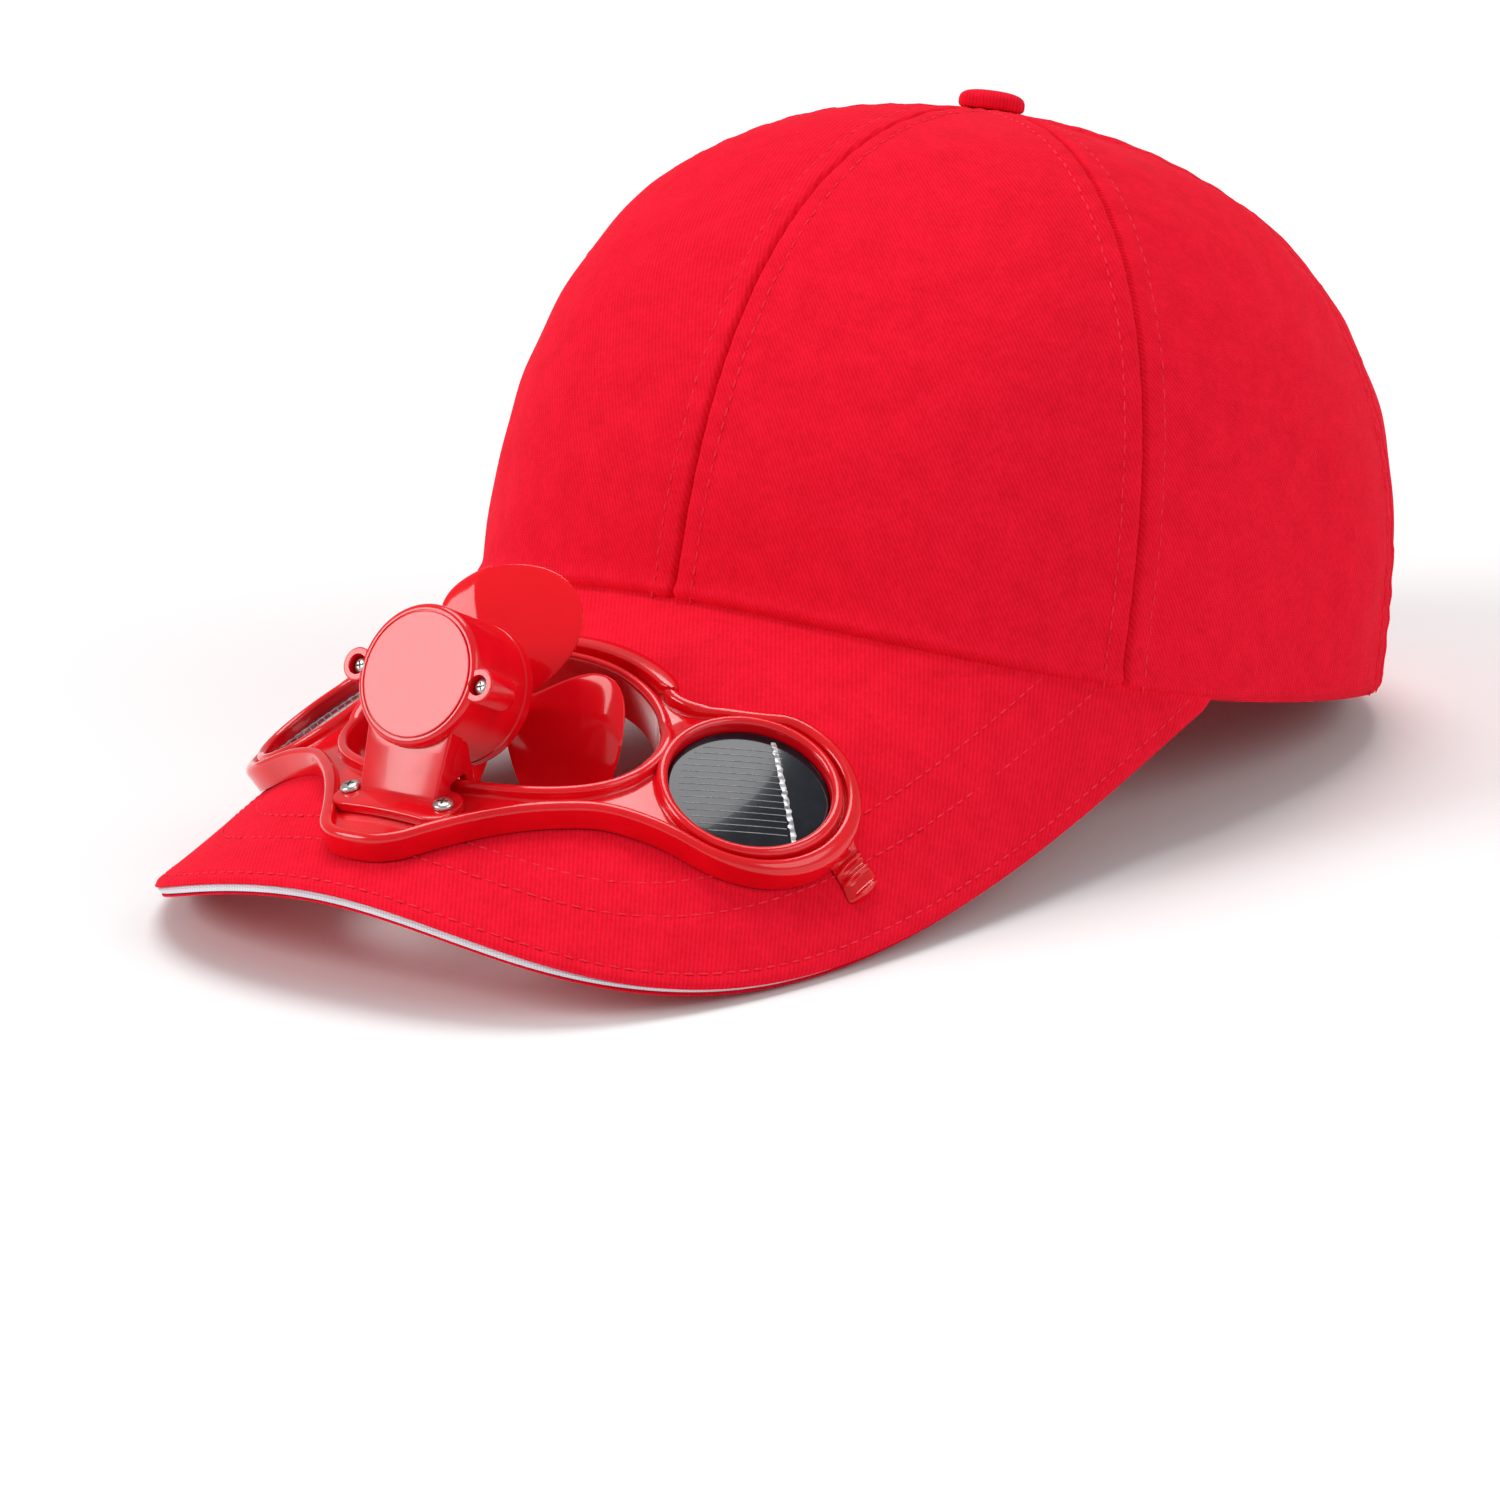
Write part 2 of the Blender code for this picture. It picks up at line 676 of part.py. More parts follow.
def fan_plate(frame):
    """The goggle-shaped moulding, made flat with its raised rims and then laid on the peak."""
    outline = plate_outline()
    peak_depth = PEAK_UPPER_THICKNESS + PEAK_SANDWICH_THICKNESS + PEAK_LOWER_THICKNESS + 2.0 * GAP
    plate = slab("fan_plate", [outline], GAP, RIM_HEIGHT)
    collar = slab(
        "collar",
        [oval(OPENING_HALF_WIDTH + COLLAR_WALL, OPENING_HALF_DEPTH + COLLAR_WALL)],
        -peak_depth - COLLAR_PROUD, WEB_HEIGHT / 2.0,
    )
    lugs = [lug(side) for side in (-1.0, 1.0)]
    for other in (collar, *lugs):
        combine(plate, other, "UNION")
    apply_modifiers(plate, (collar, *lugs))

    pocket = slab("pocket", [inset(outline, RIM_WIDTH)], WEB_HEIGHT, RIM_HEIGHT + CUT_PAST)
    opening_rim = slab(
        "opening_rim",
        [oval(OPENING_HALF_WIDTH + OPENING_RIM_WIDTH, OPENING_HALF_DEPTH + OPENING_RIM_WIDTH)],
        0.0, RIM_HEIGHT + 2.0 * CUT_PAST,
    )
    seat_rims = []
    for side in (-1.0, 1.0):
        centre = (side * PANEL_ACROSS, -PANEL_FORWARD)
        radius = SOLAR_RADIUS + GAP + SEAT_RIM_WIDTH
        seat_rims.append(slab(
            "seat_rim", [oval(radius, radius, CIRCLE_SEGMENTS, centre)], 0.0, RIM_HEIGHT + 2.0 * CUT_PAST,
        ))
    for other in (opening_rim, *seat_rims):
        combine(pocket, other, "DIFFERENCE")
    apply_modifiers(pocket, (opening_rim, *seat_rims))

    cuts = [pocket]
    cuts.append(slab(
        "opening", [oval(OPENING_HALF_WIDTH, OPENING_HALF_DEPTH)],
        -peak_depth - COLLAR_PROUD - CUT_PAST, RIM_HEIGHT + CUT_PAST,
    ))
    for side in (-1.0, 1.0):
        centre = (side * PANEL_ACROSS, -PANEL_FORWARD)
        radius = SOLAR_RADIUS + GAP
        cuts.append(slab(
            "seat", [oval(radius, radius, CIRCLE_SEGMENTS, centre)], WEB_HEIGHT, RIM_HEIGHT + 2.0 * CUT_PAST,
        ))
    for other in cuts:
        combine(plate, other, "DIFFERENCE")
    apply_modifiers(plate, cuts)
    shape_onto(plate, on_plate, PLATE_CELL)
    return finish(plate, "fan_plate", RED_PLASTIC, frame)


def solar_panel(name, side, frame):
    """Round solar panel in its seat."""
    bottom = WEB_HEIGHT + GAP
    panel = cylinder(name, SOLAR_RADIUS, bottom, bottom + SOLAR_THICKNESS, CIRCLE_SEGMENTS)
    finish(panel, name, SOLAR_GLASS, frame)
    panel.matrix_local = seat_matrix(side)
    return panel


# Motor and fan

def drum_rear():
    """Height of the drum's rear face in the fan's frame."""
    return HUB_LENGTH / 2.0 + DRUM_TO_HUB


def motor_housing(frame):
    """Drum with two screw ears; its face points out of the peak, its rear has the shaft's bore."""
    rear = drum_rear()
    face = rear + DRUM_LENGTH
    profile = [
        (0.0, face),
        (DRUM_RADIUS - DRUM_BEVEL, face),
        (DRUM_RADIUS, face - DRUM_BEVEL),
        (DRUM_RADIUS, rear + DRUM_BEVEL),
        (DRUM_RADIUS - DRUM_BEVEL, rear),
        (0.0, rear),
    ]
    housing = turned("motor_housing", profile, DRUM_SEGMENTS)
    ears = []
    holes = []
    for side in (-1.0, 1.0):
        front = face - EAR_SETBACK
        centre = (side * EAR_OFFSET, 0.0)
        ears.append(cylinder("ear", EAR_RADIUS, front - EAR_LENGTH, front, SMALL_SEGMENTS, centre))
        holes.append(cylinder(
            "hole", EAR_RADIUS - EAR_WALL, front - EAR_RECESS, front + CUT_PAST, SMALL_SEGMENTS, centre,
        ))
    bore = cylinder("bore", SHAFT_RADIUS + GAP, rear - CUT_PAST, rear + SHAFT_SEAT, SMALL_SEGMENTS)
    for ear in ears:
        combine(housing, ear, "UNION")
    for hole in (*holes, bore):
        combine(housing, hole, "DIFFERENCE")
    apply_modifiers(housing, (*ears, *holes, bore))
    return finish(housing, "motor_housing", RED_PLASTIC, frame)


def drum_line(below):
    """Where the drum's face lies, in the flat pattern, so far below its axis: forward and height."""
    face = drum_rear() + DRUM_LENGTH
    forward = OPENING_FORWARD + face * sin(FAN_LEAN) + below * cos(FAN_LEAN)
    height = FAN_RISE + face * cos(FAN_LEAN) - below * sin(FAN_LEAN)
    return forward, height


def side_profile(name, profile, first, last):
    """Slab standing along the hat, from one place across to another, from (forward, height) points."""
    piece = slab(name, [[(-forward, height) for forward, height in profile]], first, last)
    turn = Matrix(((0.0, 0.0, 1.0), (1.0, 0.0, 0.0), (0.0, 1.0, 0.0))).to_4x4()
    piece.data.transform(turn)
    return piece


def motor_bracket(frame, fan_frame):
    """Flange, neck and two cheeks with legs, cut to the drum that they cradle."""
    flange_bottom = WEB_HEIGHT + GAP
    flange_top = flange_bottom + FLANGE_THICKNESS
    corners = []
    for start, across, forward in (
        (0.0, FLANGE_HALF_WIDTH, FLANGE_REAR),
        (90.0, -FLANGE_HALF_WIDTH, FLANGE_REAR),
        (180.0, -FLANGE_HALF_WIDTH, FLANGE_FRONT),
        (270.0, FLANGE_HALF_WIDTH, FLANGE_FRONT),
    ):
        middle_x = across - FLANGE_CORNER * (1 if across > 0 else -1)
        middle_y = -forward - FLANGE_CORNER * (1 if forward == FLANGE_REAR else -1)
        for step in range(5):
            turn = radians(start + 90.0 * step / 4)
            corners.append((middle_x + FLANGE_CORNER * cos(turn), middle_y + FLANGE_CORNER * sin(turn)))
    bracket = slab("motor_bracket", [corners], flange_bottom, flange_top)

    inside = flange_bottom + FLANGE_THICKNESS / 2.0
    neck_rear = FLANGE_REAR + GAP / 3.0
    neck_front = neck_rear + NECK_DEPTH
    under_forward, under_height = drum_line(DRUM_RADIUS)
    middle_forward, middle_height = drum_line(NECK_SETBACK)
    back = Vector((sin(FAN_LEAN), cos(FAN_LEAN))) * DRUM_BEVEL * 2.0
    neck = side_profile("neck", [
        (neck_front, inside),
        (neck_front, flange_top),
        (under_forward - back.x, under_height - back.y),
        (middle_forward - back.x, middle_height - back.y),
        (middle_forward - DRUM_LENGTH / 2.0, middle_height),
        (neck_rear - NECK_DEPTH / 2.0, flange_top + NECK_DEPTH),
        (neck_rear, flange_top),
        (neck_rear, inside),
    ], -NECK_HALF_WIDTH, NECK_HALF_WIDTH)
    leg_front = OPENING_FORWARD + OPENING_HALF_DEPTH * 0.94
    pass_height = RIM_HEIGHT + 2.0 * GAP
    cheeks = []
    for side in (-1.0, 1.0):
        outer = side * NECK_HALF_WIDTH * 0.98
        inner = side * (NECK_HALF_WIDTH - CHEEK_THICKNESS)
        cheeks.append(side_profile("cheek", [
            (neck_rear + NECK_DEPTH / 2.0, pass_height),
            (neck_rear + NECK_DEPTH / 2.0, middle_height - NECK_DEPTH),
            (leg_front - LEG_DEPTH, middle_height - NECK_DEPTH),
            (leg_front - LEG_DEPTH, LEG_FOOT),
            (leg_front, LEG_FOOT),
            (leg_front, pass_height),
        ], min(inner, outer), max(inner, outer)))
    for other in (neck, *cheeks):
        combine(bracket, other, "UNION")
    apply_modifiers(bracket, (neck, *cheeks))
    shape_onto(bracket, on_peak, PLATE_CELL)
    finish(bracket, "motor_bracket", RED_PLASTIC, frame)

    rear = drum_rear()
    room = cylinder(
        "drum_room", DRUM_RADIUS + GAP, rear - CUT_PAST * 4.0, rear + DRUM_LENGTH + CUT_PAST * 4.0, DRUM_SEGMENTS,
    )
    make_cutter(room, fan_frame)
    combine(bracket, room, "DIFFERENCE")
    return bracket


def screw(name, frame):
    """Pan head of a screw, seated at its frame's origin."""
    profile = [
        (0.0, SCREW_HEAD_HEIGHT),
        (SCREW_HEAD_RADIUS * 0.55, SCREW_HEAD_HEIGHT * 0.94),
        (SCREW_HEAD_RADIUS * 0.88, SCREW_HEAD_HEIGHT * 0.68),
        (SCREW_HEAD_RADIUS, SCREW_HEAD_HEIGHT * 0.30),
        (SCREW_HEAD_RADIUS, 0.0),
        (0.0, 0.0),
    ]
    head = turned(name, profile, SMALL_SEGMENTS)
    return finish(head, name, SCREW_STEEL, frame)


def bracket_screw(name, side, frame):
    """Screw that holds the bracket's flange on the lobe."""
    head = screw(name, frame)
    forward = (FLANGE_REAR + FLANGE_FRONT) / 2.0
    top = WEB_HEIGHT + GAP + FLANGE_THICKNESS + GAP
    head.location = on_peak(side * SCREW_ACROSS, forward, top)
    head.rotation_euler = (0.0, side * SCREW_ACROSS / PEAK_BEND_RADIUS, 0.0)
    return head


def housing_screw(name, side, frame):
    """Screw sunk in one of the housing's ears."""
    head = screw(name, frame)
    size = (EAR_RADIUS - EAR_WALL - GAP) / SCREW_HEAD_RADIUS
    head.data.transform(Matrix.Diagonal((size, size, 1.0, 1.0)))
    floor = drum_rear() + DRUM_LENGTH - EAR_SETBACK - EAR_RECESS
    head.location = (side * EAR_OFFSET, 0.0, floor + GAP)
    return head


def blade_half_width(radius):
    """Half the blade's width at a distance from the axis: a stem that widens to a round petal."""
    if radius < BLADE_WIDEST:
        share = (radius - HUB_RADIUS / 2.0) / (BLADE_WIDEST - HUB_RADIUS / 2.0)
        return BLADE_ROOT_HALF_WIDTH + (BLADE_HALF_WIDTH - BLADE_ROOT_HALF_WIDTH) * sin(share * pi / 2.0)
    share = (radius - BLADE_WIDEST) / (FAN_RADIUS - BLADE_WIDEST)
    return BLADE_HALF_WIDTH * (1.0 - share ** BLADE_TIP_POWER) ** (1.0 / BLADE_TIP_POWER)


def fan_blade(number):
    """One pitched petal blade, its stem inside the hub."""
    start = HUB_RADIUS / 2.0
    rows = []
    for row in range(9):
        share = row / 8
        radius = start + (FAN_RADIUS - start) * sin(share * radians(84)) / sin(radians(84))
        radius = min(radius, FAN_RADIUS - BLADE_THICKNESS / 8.0)
        half = blade_half_width(radius)
        line = []
        for column in range(7):
            across = half * (column / 3.0 - 1.0)
            line.append(Vector((radius, across, -across * tan(-BLADE_PITCH))))
        rows.append(line)
    blade = sheet_object("blade", rows, BLADE_THICKNESS)
    blade.modifiers["thickness"].offset = 0.0
    apply_modifiers(blade)
    blade.data.transform(Matrix.Rotation(BLADE_START + 2.0 * pi * number / BLADE_COUNT, 4, "Z"))
    return blade


def fan_rotor(frame):
    """Hub with its blades and the shaft's blind bore."""
    half = HUB_LENGTH / 2.0
    profile = [
        (0.0, half),
        (HUB_RADIUS, half),
        (HUB_RADIUS, -half * 0.4),
        (HUB_RADIUS * 0.7, -half * 0.85),
        (0.0, -half),
    ]
    rotor = turned("fan_rotor", profile, 2 * SMALL_SEGMENTS)
    blades = [fan_blade(number) for number in range(BLADE_COUNT)]
    bore = cylinder("hub_bore", SHAFT_RADIUS + GAP, half - SHAFT_SEAT, half + CUT_PAST, SMALL_SEGMENTS)
    for blade in blades:
        combine(rotor, blade, "UNION")
    combine(rotor, bore, "DIFFERENCE")
    apply_modifiers(rotor, (*blades, bore))
    return finish(rotor, "fan_rotor", RED_PLASTIC, frame)


def motor_shaft(frame):
    """Steel shaft from the motor's bore to the hub's."""
    bottom = HUB_LENGTH / 2.0 - SHAFT_SEAT + GAP
    top = drum_rear() + SHAFT_SEAT - GAP
    shaft = cylinder("motor_shaft", SHAFT_RADIUS, bottom, top, SMALL_SEGMENTS)
    return finish(shaft, "motor_shaft", SCREW_STEEL, frame)


# Standing on a table

def side_points():
    """Every vertex of the built hat as (backward, up)."""
    bpy.context.view_layer.update()
    graph = bpy.context.evaluated_depsgraph_get()
    points = []
    for piece in HAT.objects:
        if piece.type == "MESH":
            evaluated = piece.evaluated_get(graph)
            points += [(evaluated.matrix_world @ vertex.co).yz for vertex in evaluated.data.vertices]
    return np.array(points)


def stand_on_table(frame, middle):
    """Turn and move the hat until its front and its back both touch the plane under it."""
    for _ in range(REST_PASSES):
        points = side_points()
        split = (frame.matrix_world @ middle).y
        front = points[points[:, 0] < split]
        back = points[points[:, 0] >= split]
        front_low = front[np.argmin(front[:, 1])]
        back_low = back[np.argmin(back[:, 1])]
        frame.rotation_euler.x -= atan2(back_low[1] - front_low[1], back_low[0] - front_low[0])
    points = side_points()
    frame.location.y -= (points[:, 0].min() + points[:, 0].max()) / 2.0
    frame.location.z -= points[:, 1].min()


# Assembly

hat_frame = new_frame("hat_frame", None, (0.0, 0.0, 0.0), 0.0)
crown_frame = new_frame(
    "crown_frame", hat_frame,
    (0.0, -CROWN_HALF_LENGTH * cos(CROWN_LEAN), CROWN_HALF_LENGTH * sin(CROWN_LEAN)), -CROWN_LEAN,
)
peak_frame = new_frame(
    "peak_frame", hat_frame, crown_frame.matrix_world @ crown_point(0.0, edge_rise(0.0)), PEAK_SLOPE,
)
fan_frame = new_frame("fan_frame", peak_frame, (0.0, -OPENING_FORWARD, FAN_RISE), FAN_LEAN)
SEAM_ACROSS, SEAM_FORWARD, SEAM_LIFT = seam_table(crown_frame, peak_frame)

PANEL_NAMES = (
    "crown_panel_front_left",
    "crown_panel_side_left",
    "crown_panel_rear_left",
    "crown_panel_rear_right",
    "crown_panel_side_right",
    "crown_panel_front_right",
)
crown_panels = [crown_panel(name, number, crown_frame) for number, name in enumerate(PANEL_NAMES)]
arch = arch_cutter(crown_frame)
for panel in crown_panels[2:4]:
    combine(panel, arch, "DIFFERENCE")
closure_strap(crown_frame)
top_button(crown_frame)

sandwich_top = PEAK_UPPER_THICKNESS + GAP
lower_top = sandwich_top + PEAK_SANDWICH_THICKNESS + GAP
peak_sheet("peak_upper", 0.0, PEAK_UPPER_THICKNESS, 0.0, RED_CLOTH, peak_frame)
peak_sheet("peak_sandwich", sandwich_top, PEAK_SANDWICH_THICKNESS, SANDWICH_PROUD, WHITE_CLOTH, peak_frame)
peak_sheet("peak_lower", lower_top, PEAK_LOWER_THICKNESS, 0.0, RED_CLOTH, peak_frame)

fan_plate(peak_frame)
motor_housing(fan_frame)
motor_bracket(peak_frame, fan_frame)
for side_name, side_sign in (("left", 1.0), ("right", -1.0)):
    solar_panel("solar_panel_" + side_name, side_sign, peak_frame)
    bracket_screw("bracket_screw_" + side_name, side_sign, peak_frame)
    housing_screw("housing_screw_" + side_name, side_sign, fan_frame)
fan_rotor(fan_frame)
motor_shaft(fan_frame)
stand_on_table(hat_frame, peak_frame.location)
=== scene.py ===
from math import cos, pi, radians, sin, tan

import bmesh
import bpy
import numpy as np
from mathutils import Matrix, Vector
from mathutils.geometry import delaunay_2d_cdt


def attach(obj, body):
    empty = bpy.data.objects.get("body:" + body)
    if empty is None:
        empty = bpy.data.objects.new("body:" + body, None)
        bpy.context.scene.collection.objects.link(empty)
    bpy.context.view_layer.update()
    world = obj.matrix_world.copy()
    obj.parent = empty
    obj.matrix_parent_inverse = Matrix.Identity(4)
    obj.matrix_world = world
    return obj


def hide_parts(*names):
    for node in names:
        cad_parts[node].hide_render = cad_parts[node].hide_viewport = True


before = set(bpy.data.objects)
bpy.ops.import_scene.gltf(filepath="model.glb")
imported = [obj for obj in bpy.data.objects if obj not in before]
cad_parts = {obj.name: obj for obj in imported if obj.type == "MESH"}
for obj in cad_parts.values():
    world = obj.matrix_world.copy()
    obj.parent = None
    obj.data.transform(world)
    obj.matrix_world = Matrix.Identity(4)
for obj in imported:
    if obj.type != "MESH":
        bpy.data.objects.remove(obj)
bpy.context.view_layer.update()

MM = 0.001

# Crown
CROWN_HALF_LENGTH = 92.0 * MM
CROWN_HALF_WIDTH = 88.0 * MM
CROWN_HEIGHT = 107.0 * MM
CROWN_PLAN_POWER = 2.45
CROWN_FRONT_POWER = 2.4
CROWN_REAR_POWER = 2.5
CROWN_SIDE_POWER = 2.7
CROWN_SHOULDER = 1.18
CROWN_TOP_SHIFT = -5.4 * MM
CROWN_LEAN = radians(16.2)
SIDE_DROP = 4.7 * MM
SIDE_DROP_BIAS = 0.8
TOP_HOLE_RADIUS = 2.5 * MM
CLOTH = 1.2 * MM
SEAM_GAP = 0.4 * MM
PANELS = 6
REAR_PANELS = (2, 3)
PANEL_COLUMNS = 72
PANEL_ROWS = 104
ARCH_HALF_WIDTH = 34.5 * MM
ARCH_HEIGHT = 52.0 * MM
ARCH_POWER = 2.9
STRAP_HEIGHT = 19.5 * MM
STRAP_THICKNESS = 1.8 * MM
STRAP_TUCK = radians(9.0)
STRAP_CLEARANCE = 0.8 * MM
STRAP_LIFT = 0.4 * MM
BUTTON_RADIUS = 6.9 * MM
BUTTON_HEIGHT = 4.1 * MM
SEAM_ROLL = 0.5 * MM
SEAM_DIP = 0.85 * MM
SEAM_STITCH = 4.7 * MM
HEM_STITCH = 4.2 * MM
STRAP_STITCH = 2.4 * MM
THREAD_LIFT = 0.05 * MM

# Peak
PEAK_BEND_RADIUS = 106.5 * MM
PEAK_SLOPE = radians(15.2)
PEAK_REACH = 114.8 * MM
PEAK_POWER = 3.17
PEAK_ROOT_ANGLE = radians(75.1)
PEAK_ROWS_FROM_EDGE = (3.1 * MM, 16.5 * MM, 24.8 * MM)

# Moulding on the peak, in its flat pattern
OPENING_FORWARD = 56.3 * MM
OPENING_HALF_WIDTH = 33.3 * MM
OPENING_HALF_DEPTH = 23.1 * MM
RIM_HEIGHT = 5.7 * MM
WEB_HEIGHT = 3.4 * MM
OVAL_STEP = 0.7 * MM
COLLAR_WALL = 1.2 * MM
COLLAR_BOTTOM = -4.6 * MM
SOLAR_TOP = 3.0 * MM
SOLAR_CROWN = 0.5 * MM
SOLAR_TURN = radians(39)
CELL_BOTTOM = 0.8 * MM
STRIP_ACROSS = 6.9 * MM
STRIP_HALF_LENGTH = 13.3 * MM
STRIP_HALF_WIDTH = 0.58 * MM
FINGER_COUNT = 14
FINGER_SPACING = 1.66 * MM
FINGER_WIDTH = 0.20 * MM
FINGER_RADIUS = 13.6 * MM
REAR_BAND = 7.4 * MM
WING_RADIUS = 21.2 * MM
PANEL_ACROSS = 51.4 * MM
PANEL_FORWARD = 47.5 * MM
SOLAR_RADIUS = 15.6 * MM
SEAT_RADIUS = 15.9 * MM
SEAT_RIM_WIDTH = 1.6 * MM
LUG_LENGTH = 8.2 * MM
LUG_WIDTH = 8.2 * MM
FLANGE_REAR = 83.0 * MM
FLANGE_FRONT = 93.6 * MM
LOBE_REACH = 104.0 * MM
LOBE_EDGE = (
    (0.000, 1.000), (0.100, 0.982), (0.183, 0.900), (0.248, 0.760), (0.340, 0.575),
    (0.445, 0.398), (0.560, 0.245), (0.690, 0.110), (0.855, 0.035),
)
WAIST_EDGE = ((0.750, 0.675), (0.605, 0.738), (0.510, 0.730))

# Motor, fan and bracket
FAN_RISE = 7.5 * MM
FAN_LEAN = radians(47.8)
FAN_RADIUS = 29.2 * MM
BLADES = 3
BLADE_START = radians(95)
BLADE_SWEEP = radians(18)
BLADE_SETBACK = 3.5 * MM
BLADE_HALF_WIDTH = 14.5 * MM
BLADE_WIDEST = 18.5 * MM
BLADE_ROOT_HALF_WIDTH = 3.4 * MM
BLADE_PITCH = radians(17)
BLADE_THICKNESS = 1.1 * MM
HUB_RADIUS = 4.2 * MM
HUB_LENGTH = 8.0 * MM
SHAFT_BORE = 1.3 * MM
DRUM_RADIUS = 14.0 * MM
DRUM_LENGTH = 19.5 * MM
DRUM_REAR = 6.3 * MM
DRUM_FACE = DRUM_REAR + DRUM_LENGTH
EAR_OFFSET = 14.9 * MM
EAR_RADIUS = 3.35 * MM
EAR_LENGTH = 10.0 * MM
EAR_SETBACK = 0.35 * MM
EAR_HOLE = 2.05 * MM
EAR_RECESS = 2.2 * MM
FLANGE_HALF_WIDTH = 13.6 * MM
FLANGE_THICKNESS = 1.8 * MM
FLANGE_CORNER = 4.2 * MM
NECK_HALF_WIDTH = 8.8 * MM
NECK_DEPTH = 5.3 * MM
NECK_SETBACK = 6.6 * MM
SCREW_RADIUS = 2.0 * MM
SCREW_HEIGHT = 1.2 * MM
SCREW_ACROSS = 10.9 * MM
GAP = 0.3 * MM


# Places

def turn_x(angle):
    return Matrix.Rotation(angle, 4, "X")


HAT_TILT = -0.0031966327
HAT = Matrix.Translation((0.0, 0.1405959576, -0.0009398417)) @ turn_x(HAT_TILT)
CROWN_MIDDLE = (0.0, -CROWN_HALF_LENGTH * cos(CROWN_LEAN), CROWN_HALF_LENGTH * sin(CROWN_LEAN))
CROWN = HAT @ Matrix.Translation(CROWN_MIDDLE) @ turn_x(-CROWN_LEAN)


def moved(matrix, points):
    """Points of any grid, placed by a matrix."""
    table = np.array(matrix)
    return np.asarray(points, float) @ table[:3, :3].T + table[:3, 3]


def moved_way(matrix, ways):
    """Directions turned by a matrix."""
    return np.asarray(ways) @ np.array(matrix)[:3, :3].T


def unit(vectors):
    return vectors / np.maximum(np.linalg.norm(vectors, axis=-1, keepdims=True), 1e-12)


def ease(low, high, value):
    """0 below low, 1 above high, smooth between."""
    share = np.clip((value - low) / (high - low), 0.0, 1.0)
    return share * share * (3.0 - 2.0 * share)


def bump(value, width):
    return np.exp(-(value / width) ** 2)


def soft_noise(points, size, seed, waves=14):
    """Smooth noise near -1 to 1, the same each run, from a few crossing waves."""
    chance = np.random.default_rng(seed)
    total = 0.0
    for _ in range(waves):
        direction = unit(chance.normal(size=3)) * chance.uniform(0.6, 1.5)
        total = total + np.sin(points @ direction * 2.0 * pi / size + chance.uniform(0.0, 2.0 * pi))
    return total / (waves / 2.0) ** 0.5 / 1.4


# Crown surface

def crown_power(angle):
    """How square the crown's side view is at an angle from the front."""
    front = np.maximum(np.cos(angle), 0.0) ** 2
    rear = np.minimum(np.cos(angle), 0.0) ** 2
    return CROWN_FRONT_POWER * front + CROWN_REAR_POWER * rear + CROWN_SIDE_POWER * np.sin(angle) ** 2


def crown_surface(angle, rise):
    """Outer face of the crown in its own frame; rise is a share of its height."""
    power = crown_power(angle)
    share = np.clip(rise, 0.0, 1.0)
    spread = (1.0 - share ** power) ** (CROWN_SHOULDER / power)
    plan = np.abs(np.sin(angle)) ** CROWN_PLAN_POWER + np.abs(np.cos(angle)) ** CROWN_PLAN_POWER
    spread = spread * plan ** (-1.0 / CROWN_PLAN_POWER)
    return np.stack([
        CROWN_HALF_WIDTH * spread * np.sin(angle),
        -CROWN_HALF_LENGTH * spread * np.cos(angle) + CROWN_TOP_SHIFT * share ** 2,
        CROWN_HEIGHT * rise + 0.0 * angle,
    ], axis=-1)


def edge_rise(angle):
    return -SIDE_DROP * np.sin(angle) ** 2 * (1.0 + SIDE_DROP_BIAS * np.cos(angle)) / CROWN_HEIGHT


PEAK = HAT @ Matrix.Translation(
    (HAT.inverted() @ CROWN @ Vector(crown_surface(0.0, edge_rise(0.0))))) @ turn_x(PEAK_SLOPE)
FAN = PEAK @ Matrix.Translation((0.0, -OPENING_FORWARD, FAN_RISE)) @ turn_x(FAN_LEAN)


# Peak surface

def seam_lines():
    """The crown's lower edge in the peak's flat pattern: across, forward and lift over the bend."""
    angle = np.linspace(-PEAK_ROOT_ANGLE, PEAK_ROOT_ANGLE, 41)
    points = moved(PEAK.inverted() @ CROWN, crown_surface(angle, edge_rise(angle)))
    height = points[:, 2] + PEAK_BEND_RADIUS
    across = PEAK_BEND_RADIUS * np.arctan2(points[:, 0], height)
    return across, -points[:, 1], np.hypot(points[:, 0], height) - PEAK_BEND_RADIUS


SEAM_ACROSS, SEAM_FORWARD, SEAM_LIFT = seam_lines()
ROOT_ACROSS, ROOT_FORWARD = SEAM_ACROSS[-1], SEAM_FORWARD[-1]


def peak_edge_forward(across):
    share = np.minimum(np.abs(across) / ROOT_ACROSS, 1.0)
    return ROOT_FORWARD + (PEAK_REACH - ROOT_FORWARD) * (1.0 - share ** PEAK_POWER) ** (1.0 / PEAK_POWER)


def on_peak(across, forward, height):
    """World places of points of the flat pattern, so many metres over the peak's cloth."""
    across, forward, height = np.broadcast_arrays(across, forward, height)
    seam_forward = np.interp(across, SEAM_ACROSS, SEAM_FORWARD)
    lift = np.interp(across, SEAM_ACROSS, SEAM_LIFT)
    reach = np.maximum(peak_edge_forward(across) - seam_forward, GAP)
    share = np.clip((forward - seam_forward) / reach, 0.0, 1.0)
    radius = PEAK_BEND_RADIUS + height + lift * (1.0 - share) ** 2
    turn = across / PEAK_BEND_RADIUS
    up = radius * np.cos(turn) - PEAK_BEND_RADIUS
    return moved(PEAK, np.stack([radius * np.sin(turn), -forward, up], -1))


